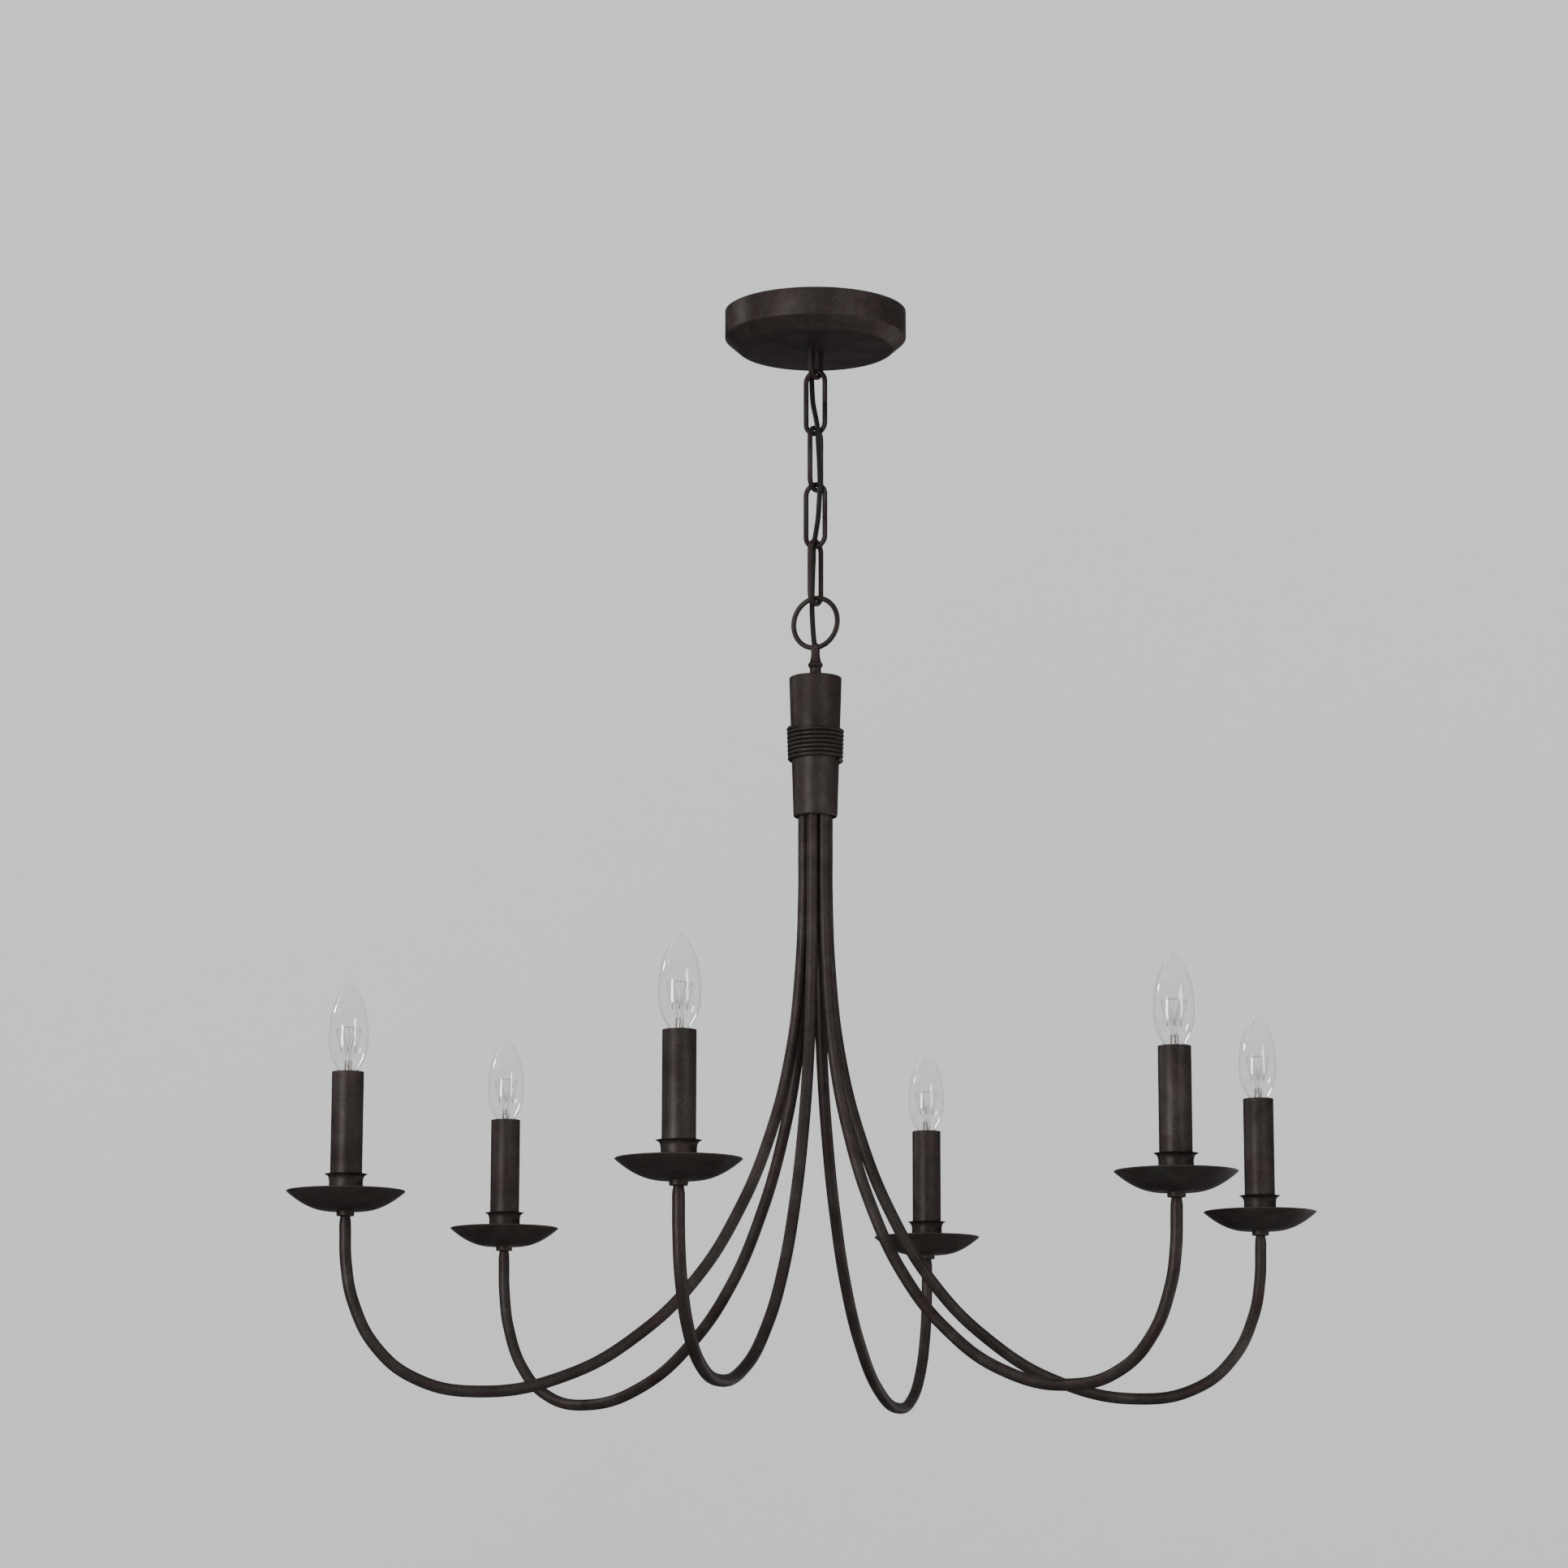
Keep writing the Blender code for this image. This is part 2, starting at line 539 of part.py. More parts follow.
def sleeve_mesh():
    inside = SLEEVE_RADIUS - SLEEVE_WALL
    outline = [(inside, 0), (SLEEVE_RADIUS, 0), (SLEEVE_RADIUS, SLEEVE_LENGTH),
               (inside, SLEEVE_LENGTH)]
    return turned("candle_sleeve", outline, LAMP_SIDES)


def socket_mesh():
    """Insulating shell with a threaded well for the lamp, on a post screwed to the tip."""
    bore = BASE_RADIUS + SLIP
    mouth = SOCKET_MOUTH - SLEEVE_BOTTOM
    well = mouth - BASE_LENGTH - 2 * MM
    shell = well - 3 * MM
    tip = TIP_TOP + GAP - SLEEVE_BOTTOM
    outside = bore + SOCKET_WALL
    outline = [
        (0, tip), (TIP_HOLE, tip), (TIP_HOLE, 0), (POST_RADIUS, 0), (POST_RADIUS, shell),
        (outside, shell), (outside, mouth), (bore, mouth), (bore, well), (0, well),
    ]
    return turned("lamp_socket", outline, LAMP_SIDES, closed=False)


def base_mesh():
    """The lamp's screw base with its contact, and the glass stem that stands in the bulb."""
    top = -SOCKET_BELOW + 2 * MM
    bottom = -SOCKET_BELOW - BASE_LENGTH
    outline = [
        (0, bottom), (2.2 * MM, bottom), (BASE_RADIUS, bottom + 3.0 * MM), (BASE_RADIUS, top),
        (FLARE_RADIUS, top), (FLARE_RADIUS, FLARE_TOP), (ROD_RADIUS, FLARE_TOP + 0.8 * MM),
        (ROD_RADIUS, ROD_TOP), (0, ROD_TOP),
    ]
    return turned("lamp_base", outline, LAMP_SIDES, closed=False)


def bulb_mesh():
    """Clear torpedo bulb, open at the neck where it is cemented to the base."""
    neck_radius = BASE_RADIUS + 0.4 * MM
    neck = -SOCKET_BELOW + 2 * MM + GAP
    outer = [(neck_radius, neck)]
    outer += [(BULB_RADIUS * a, BULB_HEIGHT * b) for a, b in BULB_OUTLINE]
    outer += [(0, BULB_HEIGHT)]
    inner = [(0, BULB_HEIGHT - 2 * BULB_WALL)]
    inner += [(r - BULB_WALL, z) for r, z in reversed(outer[:-2:2])]
    return turned("bulb_glass", inner + outer, LAMP_SIDES, closed=False)


def make_lamps(parent, looks):
    """Dish, cup, sleeve, socket and lamp on each arm. Each lamp has a pivot of its own."""
    stack = (
        ("candle_cup", cup_mesh(), looks["bronze"], CUP_BOTTOM),
        ("candle_sleeve", sleeve_mesh(), looks["bronze"], SLEEVE_BOTTOM),
        ("lamp_socket", socket_mesh(), looks["plastic"], SLEEVE_BOTTOM),
    )
    dish, bulb, base = dish_mesh(), bulb_mesh(), base_mesh()
    for n, bearing, (x, y) in tip_places():
        add(f"drip_dish_{n}", dish, looks["bronze"], parent, (x, y, DISH_BOTTOM))
        for name, mesh, look, height in stack:
            add(f"{name}_{n}", mesh, look, parent, (x, y, height), bearing)
        lamp = pivot(f"pivot_lamp_{n}", 0, parent)
        lamp.location = Vector((x, y, SLEEVE_TOP)) - world_of(parent)
        add(f"bulb_glass_{n}", bulb, looks["glass"], lamp, (x, y, SLEEVE_TOP))
        add(f"lamp_base_{n}", base, looks["nickel"], lamp, (x, y, SLEEVE_TOP))


# ---------------------------------------------------------------- supply cord

def smooth_route(points, step):
    """Points every step along a Catmull-Rom curve through the route."""
    knots = [Vector(p) * MM for p in points]
    knots = [2 * knots[0] - knots[1]] + knots + [2 * knots[-1] - knots[-2]]
    fine = []
    for a, b, c, d in zip(knots, knots[1:], knots[2:], knots[3:]):
        for n in range(20):
            t = n / 20
            fine.append(0.5 * (2 * b + (c - a) * t + (2 * a - 5 * b + 4 * c - d) * t * t
                               + (3 * b - a - 3 * c + d) * t**3))
    fine.append(knots[-2])
    kept = [fine[0]]
    for point in fine[1:]:
        if (point - kept[-1]).length >= step:
            kept.append(point)
    return kept


def make_cord(parent, look):
    """One cord from inside the canopy, through the chain and ring, into the top of the hub."""
    route = smooth_route(CORD_ROUTE, CORD_STEP)
    curve = rod_curve("supply_cord", [tuple(point) for point in route], CORD_RADIUS)
    add("supply_cord", curve, look, parent)


def build():
    clear_scene()
    looks = {
        "bronze": material("dark_bronze", (0.030, 0.025, 0.022), 0.75, 0.45),
        "zinc": material("plated_steel", (0.55, 0.54, 0.50), 1.0, 0.35),
        "plastic": material("socket_plastic", (0.02, 0.02, 0.02), 0.0, 0.5),
        "nickel": material("lamp_nickel", (0.62, 0.60, 0.56), 1.0, 0.25),
        "glass": material("clear_glass", (1.0, 1.0, 1.0), 0.0, 0.02, 1.0),
        "cord": material("cord_jacket", (0.015, 0.015, 0.015), 0.0, 0.5),
    }
    ceiling = pivot("ceiling", 0)
    make_canopy(ceiling, looks["bronze"])
    make_crossbar(ceiling, looks["zinc"])
    make_loop(ceiling, looks["bronze"])
    make_loop_nuts(ceiling, looks["zinc"])
    make_cord(ceiling, looks["cord"])

    last_link = make_chain(ceiling, looks["bronze"])
    ring = pivot("pivot_ring", RING_PIVOT, last_link)
    make_ring(ring, looks["bronze"])

    hub = pivot("pivot_hub", HUB_PIVOT, ring)
    make_eye_stem(hub, looks["bronze"])
    make_hub_sleeve(hub, looks["bronze"])
    make_hub_core(hub, looks["zinc"])
    make_wrap(hub, looks["bronze"])
    make_arms(hub, looks["bronze"])
    make_lamps(hub, looks)


build()
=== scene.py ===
import math

import bpy
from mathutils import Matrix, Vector


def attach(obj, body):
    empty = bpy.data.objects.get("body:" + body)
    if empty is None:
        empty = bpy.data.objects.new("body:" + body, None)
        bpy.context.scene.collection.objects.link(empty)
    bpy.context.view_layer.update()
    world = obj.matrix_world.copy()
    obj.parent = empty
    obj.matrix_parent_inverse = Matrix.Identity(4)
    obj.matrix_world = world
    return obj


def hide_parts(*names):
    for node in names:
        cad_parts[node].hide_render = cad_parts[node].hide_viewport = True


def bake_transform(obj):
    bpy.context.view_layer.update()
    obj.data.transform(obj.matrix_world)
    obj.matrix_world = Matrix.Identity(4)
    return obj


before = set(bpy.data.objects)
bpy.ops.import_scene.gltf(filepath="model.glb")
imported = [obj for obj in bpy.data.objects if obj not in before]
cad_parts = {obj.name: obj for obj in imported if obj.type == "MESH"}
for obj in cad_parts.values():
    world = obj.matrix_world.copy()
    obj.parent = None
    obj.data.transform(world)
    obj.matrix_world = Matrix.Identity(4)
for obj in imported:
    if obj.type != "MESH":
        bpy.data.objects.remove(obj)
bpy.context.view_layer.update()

# ---------------------------------------------------------------- camera
# The chandelier is seen from below the height of its lamps, through a long lens, with the
# chain's plane turned thirty degrees away from the lens.

bpy.ops.object.camera_add(
    location=(1.8056, -3.1210, -1.0550),
    rotation=(math.radians(100.24), 0, math.radians(30)),
)
camera = bpy.context.object
camera.name = "camera"
camera.data.lens = 101.8
camera.data.shift_x = -0.0225
bpy.context.scene.camera = camera

# ---------------------------------------------------------------- canopy
# The ceiling canopy is a pan of spun sheet steel that hides the outlet box. Its side runs down
# to a wide chamfer and a flat floor, and it has the dark bronze finish of all the ironwork:
# a baked, mottled brown-black lacquer. Its edges are painted lighter, partly as rubbed wear
# and partly as a painted highlight: the thin glint line that the lights would draw along them.

mm = 0.001
canopy_radius = 76.2 * mm
canopy_side = 23.0 * mm
canopy_floor = 64.6 * mm
canopy_depth = 33.0 * mm
canopy_steel = 1.2 * mm
loop_half = 9.1 * mm
leg_hole = 2.45 * mm
cord_place = (-6.5 * mm, 6.2 * mm)
cord_hole = 2.7 * mm
drill_length = 8 * mm


def start_piece(add, name, **size):
    """Adds a primitive with nothing else selected, and leaves it open for editing."""
    if bpy.context.object and bpy.context.object.mode == "EDIT":
        bpy.ops.object.mode_set(mode="OBJECT")
    bpy.ops.object.select_all(action="DESELECT")
    add(**size)
    piece = bpy.context.object
    piece.name = name
    bpy.ops.object.transform_apply(location=True, rotation=True, scale=True)
    bpy.ops.object.mode_set(mode="EDIT")
    bpy.ops.mesh.select_all(action="SELECT")
    return piece


def choose(piece, test):
    """Selects the points whose place passes the test."""
    bpy.ops.mesh.select_mode(type="VERT")
    bpy.ops.mesh.select_all(action="DESELECT")
    bpy.ops.object.mode_set(mode="OBJECT")
    for point in piece.data.vertices:
        point.select = test(point.co)
    bpy.ops.object.mode_set(mode="EDIT")


def modify(piece, kind, **settings):
    """Adds a modifier with these settings and applies it."""
    if bpy.context.object.mode == "EDIT":
        bpy.ops.object.mode_set(mode="OBJECT")
    bpy.ops.object.select_all(action="DESELECT")
    piece.select_set(True)
    bpy.context.view_layer.objects.active = piece
    bpy.ops.object.modifier_add(type=kind)
    change = piece.modifiers[-1]
    for setting, value in settings.items():
        setattr(change, setting, value)
    bpy.ops.object.modifier_apply(modifier=change.name)


def smooth(piece, angle=32):
    """Shades a piece smooth, apart from its edges that are sharper than the angle."""
    bpy.ops.object.mode_set(mode="OBJECT")
    bpy.ops.object.select_all(action="DESELECT")
    piece.select_set(True)
    bpy.context.view_layer.objects.active = piece
    bpy.ops.object.shade_smooth_by_angle(angle=math.radians(angle))


def turned(name, profile, sides=72, ends="wall", rounding=0.0):
    """A spun or lathe-turned piece. The profile holds (radius, height) pairs.

    Its ends are joined to each other as a wall's section, capped flat, or drawn to a tip.
    """
    radius, height = profile[0]
    piece = start_piece(
        bpy.ops.mesh.primitive_circle_add, name, vertices=sides, radius=radius,
        fill_type="NOTHING", location=(0, 0, height),
    )
    for (radius, height), (wider, higher) in zip(profile, profile[1:]):
        bpy.ops.mesh.extrude_region_move(
            TRANSFORM_OT_translate={"value": (0, 0, higher - height)})
        share = wider / radius
        bpy.ops.transform.resize(value=(share, share, 1), center_override=(0, 0, 0))
    if ends == "tip":
        bpy.ops.mesh.merge(type="CENTER")
    elif ends == "wall":
        bpy.ops.mesh.select_all(action="DESELECT")
        bpy.ops.mesh.select_non_manifold()
        bpy.ops.mesh.bridge_edge_loops()
    else:
        bpy.ops.mesh.select_all(action="SELECT")
        bpy.ops.mesh.fill_holes(sides=0)
    bpy.ops.mesh.select_all(action="SELECT")
    bpy.ops.mesh.normals_make_consistent(inside=False)
    if rounding:
        modify(piece, "BEVEL", width=rounding, segments=3, limit_method="ANGLE",
               angle_limit=math.radians(24), use_clamp_overlap=True)
    smooth(piece)
    return piece


def drilled(piece, middle, radius, length, turn=(0, 0, 0)):
    """Drills a round hole through a piece."""
    drill = start_piece(
        bpy.ops.mesh.primitive_cylinder_add, "drill", vertices=40, radius=radius,
        depth=length, location=middle, rotation=turn,
    )
    modify(piece, "BOOLEAN", operation="DIFFERENCE", solver="EXACT", object=drill)
    bpy.data.objects.remove(drill, do_unlink=True)


def finished(piece, material, slot, body, *stands_for):
    """Gives a piece its finish, its body and the frame pieces that it stands for."""
    piece.data.materials.clear()
    piece.data.materials.append(material)
    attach(piece, body)
    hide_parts(*stands_for)


def new_material(name):
    """An empty material, and a way to add nodes to it and link them."""
    material = bpy.data.materials.new(name)
    material.use_nodes = True
    tree = material.node_tree
    shader = tree.nodes["Principled BSDF"]

    def node(kind, sources=None, **settings):
        made = tree.nodes.new(kind)
        for setting, value in settings.items():
            if setting in made.inputs:
                made.inputs[setting].default_value = value
            else:
                setattr(made, setting, value)
        for socket, source in (sources or {}).items():
            tree.links.new(source, made.inputs[socket])
        return made

    def link(source, socket):
        tree.links.new(source, shader.inputs[socket])

    return material, shader, node, link


def ramp(node, source, stops):
    """A colour ramp over a pattern. The stops hold (place, colour) pairs."""
    made = node("ShaderNodeValToRGB", {"Fac": source})
    for stop in range(len(stops) - 2):
        made.color_ramp.elements.new(0.5)
    for element, (place, colour) in zip(made.color_ramp.elements, stops):
        element.position = place
        element.color = (*colour, 1)
    return made.outputs["Color"]


bronze, shader, node, link = new_material("dark_bronze_lacquer")
place = node("ShaderNodeTexCoord").outputs["Object"]
patches = node("ShaderNodeTexNoise", {"Vector": place}, Scale=34, Detail=6, Roughness=0.6,
               Distortion=0.6)
tints = node("ShaderNodeTexNoise", {"Vector": place}, Scale=46, Detail=3, Roughness=0.5,
             Distortion=0.5)
grain = node("ShaderNodeTexNoise", {"Vector": place}, Scale=1000, Detail=3, Roughness=0.7)
# Edge mask from the Bevel node: rounded edges are mixed towards a light colour below. This is
# rubbed wear and also a painted highlight along the edges.
worn_and_highlit_edges = node("ShaderNodeBevel", Radius=0.0011, samples=6)
facing = node("ShaderNodeNewGeometry").outputs["Normal"]
flat = node("ShaderNodeVectorMath", {0: worn_and_highlit_edges.outputs["Normal"], 1: facing},
            operation="DOT_PRODUCT")
brown = ramp(node, patches.outputs["Fac"], (
    (0.32, (0.0175, 0.0138, 0.0132)), (0.45, (0.0218, 0.0180, 0.0172)),
    (0.56, (0.0252, 0.0214, 0.0204)), (0.68, (0.0310, 0.0272, 0.0258))))
red = ramp(node, tints.outputs["Fac"], (
    (0.34, (1.08, 0.96, 0.97)), (0.50, (1.0, 1.0, 1.0)), (0.66, (0.94, 1.02, 0.98))))
tinted = node("ShaderNodeMix", {6: brown, 7: red}, data_type="RGBA", blend_type="MULTIPLY")
tinted.inputs["Factor"].default_value = 1.0
speckle = ramp(node, grain.outputs["Fac"], (
    (0.34, (0.68, 0.68, 0.68)), (0.52, (1.0, 1.0, 1.0)), (0.66, (1.55, 1.52, 1.48))))
flecked = node("ShaderNodeMix", {6: tinted.outputs[2], 7: speckle}, data_type="RGBA",
               blend_type="MULTIPLY")
flecked.inputs["Factor"].default_value = 1.0
wear_and_highlight = ramp(node, flat.outputs["Value"], (
    (0.90, (0.55, 0.55, 0.55)), (0.985, (0.0, 0.0, 0.0))))
rubbed_and_highlit = node("ShaderNodeMix", {0: wear_and_highlight, 6: flecked.outputs[2]}, data_type="RGBA")
# The light edge colour: partly worn metal, partly a painted highlight standing in for the glint on
# the edges.
rubbed_and_highlit.inputs[7].default_value = (0.092, 0.079, 0.070, 1)
link(rubbed_and_highlit.outputs[2], "Base Color")
dull = node("ShaderNodeMapRange", {"Value": grain.outputs["Fac"]})
dull.inputs["From Min"].default_value = 0.3
dull.inputs["From Max"].default_value = 0.7
dull.inputs["To Min"].default_value = 0.40
dull.inputs["To Max"].default_value = 0.58
link(dull.outputs["Result"], "Roughness")
pits = node("ShaderNodeBump", {"Height": grain.outputs["Fac"]}, Strength=0.22, Distance=0.0002)
link(pits.outputs["Normal"], "Normal")
shader.inputs["Metallic"].default_value = 0.6
shader.inputs["Specular Tint"].default_value = (0.26, 0.25, 0.24, 1)
shader.inputs["IOR"].default_value = 1.08

canopy = turned("ceiling_canopy", (
    (2 * mm, canopy_steel - canopy_depth), (canopy_floor - 1 * mm, canopy_steel - canopy_depth),
    (canopy_radius - canopy_steel, 0.5 * mm - canopy_side), (canopy_radius - canopy_steel, 0),
    (canopy_radius, 0), (canopy_radius, 0.8 * mm - canopy_side),
    (canopy_radius - 0.2 * mm, 0.1 * mm - canopy_side),
    (canopy_radius - 0.7 * mm, -0.5 * mm - canopy_side),
    (canopy_floor + 0.8 * mm, 0.6 * mm - canopy_depth), (canopy_floor, 0.1 * mm - canopy_depth),
    (canopy_floor - 0.9 * mm, -canopy_depth), (2 * mm, -canopy_depth)), sides=144, ends="caps")
for leg in (loop_half, -loop_half):
    drilled(canopy, (0, leg, -canopy_depth), leg_hole, drill_length)
drilled(canopy, (*cord_place, -canopy_depth), cord_hole, drill_length)
smooth(canopy, 40)
finished(canopy, bronze, "dark_bronze", "canopy", "canopy")

# ---------------------------------------------------------------- crossbar, nuts and hub core
# Steel pieces that stay hidden in use: the zinc-plated strap across the outlet box, the two
# nuts that hold the loop to it, and the threaded core that the arms are brazed to.

zinc, shader, node, link = new_material("zinc_plate")
place = node("ShaderNodeTexCoord").outputs["Object"]
spangle = node("ShaderNodeTexVoronoi", {"Vector": place}, Scale=420)
haze = node("ShaderNodeTexNoise", {"Vector": place}, Scale=160, Detail=5, Roughness=0.6)
link(ramp(node, spangle.outputs["Distance"], (
    (0.0, (0.42, 0.42, 0.40)), (1.0, (0.62, 0.61, 0.57)))), "Base Color")
dull = node("ShaderNodeMapRange", {"Value": haze.outputs["Fac"]})
dull.inputs["To Min"].default_value = 0.24
dull.inputs["To Max"].default_value = 0.46
link(dull.outputs["Result"], "Roughness")
scuffs = node("ShaderNodeBump", {"Height": haze.outputs["Fac"]}, Strength=0.15, Distance=0.0002)
link(scuffs.outputs["Normal"], "Normal")
shader.inputs["Metallic"].default_value = 1.0

for hidden in ("crossbar", "loop_nut_1", "loop_nut_2", "hub_core"):
    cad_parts[hidden].data.materials.clear()
    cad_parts[hidden].data.materials.append(zinc)

# ---------------------------------------------------------------- canopy loop
# A staple of bent steel wire. Its two legs pass up through the canopy's floor and carry nuts,
# and its bend hangs below for the first link.

wire = 2.15 * mm
loop_bottom = -56.4 * mm
leg_top = -3.4 * mm
leg_tip = 0.8 * mm

loop = start_piece(
    bpy.ops.mesh.primitive_torus_add, "canopy_staple", major_radius=loop_half,
    minor_radius=wire, major_segments=64, minor_segments=24, rotation=(math.pi / 2, 0, math.pi / 2),
    location=(0, 0, loop_bottom + loop_half),
)
choose(loop, lambda at: at.z > loop_bottom + loop_half + 1e-5)
bpy.ops.mesh.delete(type="VERT")
bpy.ops.mesh.select_non_manifold()
bpy.ops.mesh.extrude_region_move(
    TRANSFORM_OT_translate={"value": (0, 0, leg_top - loop_bottom - loop_half)})
bpy.ops.mesh.extrude_region_move(TRANSFORM_OT_translate={"value": (0, 0, leg_tip)})
for side in (-1, 1):
    choose(loop, lambda at: at.z > leg_top + 0.9 * leg_tip and at.y * side > 0)
    bpy.ops.transform.resize(value=(0.8, 0.8, 1), center_override=(0, side * loop_half, 0))
    bpy.ops.mesh.edge_face_add()
bpy.ops.mesh.select_all(action="SELECT")
bpy.ops.mesh.normals_make_consistent(inside=False)
smooth(loop)
finished(loop, bronze, "dark_bronze", "canopy", "canopy_loop")

# ---------------------------------------------------------------- chain
# Four long links of the same wire, each bent round and butted shut in the middle of one side,
# and turned a quarter from the one that it hangs in.

link_half = 9.1 * mm
link_length = 53.3 * mm
link_pitch = 48.7 * mm
first_link = -51.8 * mm


def wire_link(name, middle, half, straight, quarter):
    """A ring of wire drawn out to a long link, with the hairline of its butted ends."""
    piece = start_piece(
        bpy.ops.mesh.primitive_torus_add, name, major_radius=half, minor_radius=wire,
        major_segments=64, minor_segments=24, location=(0, 0, middle),
        rotation=(math.pi / 2, math.pi / 64, quarter * math.pi / 2),
    )
    if straight:
        choose(piece, lambda at: at.z > middle)
        bpy.ops.transform.translate(value=(0, 0, straight / 2))
        choose(piece, lambda at: at.z < middle)
        bpy.ops.transform.translate(value=(0, 0, -straight / 2))
        bpy.ops.mesh.select_all(action="SELECT")
        for height in (0.35 * mm, 0.12 * mm, -0.12 * mm, -0.35 * mm):
            bpy.ops.mesh.select_all(action="SELECT")
            bpy.ops.mesh.bisect(plane_co=(0, 0, middle + height), plane_no=(0, 0, 1))
        choose(piece, lambda at: abs(at.z - middle) < 0.2 * mm and at.x + at.y > 0)
        out = (0, half, middle) if quarter else (half, 0, middle)
        bpy.ops.transform.resize(value=(0.86, 0.86, 1), center_override=out)
    smooth(piece, 60)
    return piece


for number in range(4):
    top = first_link - number * link_pitch
    piece = wire_link(f"chain_wire_link_{number + 1}", top - link_length / 2, link_half,
                      link_length - 2 * link_half, number % 2)
    finished(piece, bronze, "dark_bronze", f"link_{number + 1}", f"chain_link_{number + 1}")

# ---------------------------------------------------------------- ring
# One round ring of wire, welded shut, hangs in the last link and carries the stem below.

ring_middle = -267.55 * mm
ring_radius = 20.95 * mm
weld = math.radians(-62)
weld_reach = 2.45 * mm

ring = start_piece(
    bpy.ops.mesh.primitive_torus_add, "welded_ring", major_radius=ring_radius, minor_radius=wire,
    major_segments=120, minor_segments=24, location=(0, 0, ring_middle),
    rotation=(math.pi / 2, 0, 0),
)
at_weld = Vector((ring_radius * math.cos(weld), 0, ring_middle + ring_radius * math.sin(weld)))
choose(ring, lambda at: (at - at_weld).length < weld_reach)
bpy.ops.transform.resize(value=(1.05, 1.07, 1.05), center_override=at_weld)
smooth(ring, 60)
finished(ring, bronze, "dark_bronze", "ring", "hanging_ring")

# ---------------------------------------------------------------- eye stem
# A lathe-turned stem. Its flat-sided eye hangs on the ring, a bead and a waist stand below it,
# and its foot screws down on the hub.

stem_pivot = -288.5 * mm
eye_hole = 2.85 * mm
hub_top = -313.9 * mm


def eased(points, steps):
    """More points on one smooth curve through the points."""
    knots = [Vector(point) for point in points]
    knots = [2 * knots[0] - knots[1]] + knots + [2 * knots[-1] - knots[-2]]
    fine = []
    for a, b, c, d in zip(knots, knots[1:], knots[2:], knots[3:]):
        for step in range(steps):
            t = step / steps
            fine.append(0.5 * (2 * b + (c - a) * t + (2 * a - 5 * b + 4 * c - d) * t * t
                               + (3 * b - a - 3 * c + d) * t**3))
    return fine + [knots[-2]]


stem_profile = [(0.9, 3.85), (1.9, 3.55), (2.85, 2.75), (3.45, 1.6), (3.7, 0.2), (3.7, -3.0),
                (3.7, -6.6), (3.95, -8.6), (4.45, -10.6), (4.75, -12.2), (5.5, -13.2),
                (6.1, -14.1), (6.2, -14.9), (6.0, -15.8), (5.3, -16.8), (4.75, -18.2),
                (4.75, -20.0), (5.1, -22.2), (5.8, -24.2), (5.8, -25.05)]
stem = turned("turned_eye_stem", [
    (radius * mm, stem_pivot + height * mm) for radius, height in eased(stem_profile, 2)],
    sides=64, ends="caps")
drilled(stem, (0, 0, stem_pivot), eye_hole, 12 * mm, (0, math.pi / 2, 0))
smooth(stem)
finished(stem, bronze, "dark_bronze", "fixture", "eye_stem")

# ---------------------------------------------------------------- hub
# A tapered steel sleeve slips down over the tops of the six arms. Its top is closed but for
# the stem's shank and a bushed hole for the cord, and its lower edge is rounded over.

hub_length = 117.5 * mm
hub_wide = 21.8 * mm
hub_narrow = 18.2 * mm
hub_steel = 1.5 * mm
hub_bottom = hub_top - hub_length
shank_hole = 3.1 * mm
cord_entry = (-4.6 * mm, 8.1 * mm)
entry_hole = 2.5 * mm

hub = turned("hub_taper_sleeve", (
    (shank_hole, hub_top), (hub_wide - 0.9 * mm, hub_top), (hub_wide, hub_top - 0.9 * mm),
    (hub_narrow + 0.05 * mm, hub_bottom + 1.2 * mm),
    (hub_narrow - 0.55 * mm, hub_bottom), (hub_narrow - hub_steel, hub_bottom),
    (hub_wide - hub_steel, hub_top - hub_steel), (shank_hole, hub_top - hub_steel)),
    sides=120, rounding=0.35 * mm)
drilled(hub, (*cord_entry, hub_top), entry_hole, drill_length)
smooth(hub)
finished(hub, bronze, "dark_bronze", "fixture", "hub_sleeve")

# ---------------------------------------------------------------- wire wrap
# A close coil of thick wire, wound over seven and a half times round the hub. Both cut
# ends lie flat against the coil.

wrap_wire = 1.6 * mm
wrap_turns = 7.65
wrap_parts = 9
wrap_pitch = 3.5 * mm
wrap_first = hub_top - 43.7 * mm
wrap_start = math.radians(245)
wrap_middle = wrap_first - wrap_turns * wrap_pitch / 2
taper = (hub_wide - hub_narrow) / hub_length
wrap_radius = hub_wide - taper * (hub_top - wrap_middle) + wrap_wire + 0.2 * mm

coil = start_piece(
    bpy.ops.mesh.primitive_circle_add, "hub_wire_wrap", vertices=18, radius=wrap_wire,
    fill_type="NOTHING", location=(wrap_radius, 0, wrap_first - wrap_middle),
    rotation=(math.pi / 2, 0, 0),
)
modify(coil, "SCREW", axis="Z", iterations=wrap_parts,
       angle=-math.tau * wrap_turns / wrap_parts,
       screw_offset=-wrap_pitch * wrap_turns / wrap_parts, steps=64, render_steps=64,
       use_merge_vertices=True, merge_threshold=1e-5)
bpy.ops.object.mode_set(mode="EDIT")
bpy.ops.mesh.select_all(action="SELECT")
bpy.ops.mesh.fill_holes(sides=0)
bpy.ops.mesh.select_all(action="SELECT")
bpy.ops.mesh.normals_make_consistent(inside=False)
modify(coil, "SIMPLE_DEFORM", deform_method="TAPER", deform_axis="Z",
       factor=taper / wrap_radius * (wrap_turns * wrap_pitch + 2 * wrap_wire))
coil.rotation_euler.z = wrap_start
coil.location.z = wrap_middle
bpy.ops.object.transform_apply(location=True, rotation=True, scale=True)
smooth(coil, 50)
finished(coil, bronze, "dark_bronze", "fixture", "wire_wrap")

# ---------------------------------------------------------------- arms
# Six arms of thin steel tube leave the hub as one bundle, fall away in a long curve and turn
# up. Each is bent from one straight length, and its end is drawn down to a threaded tip.

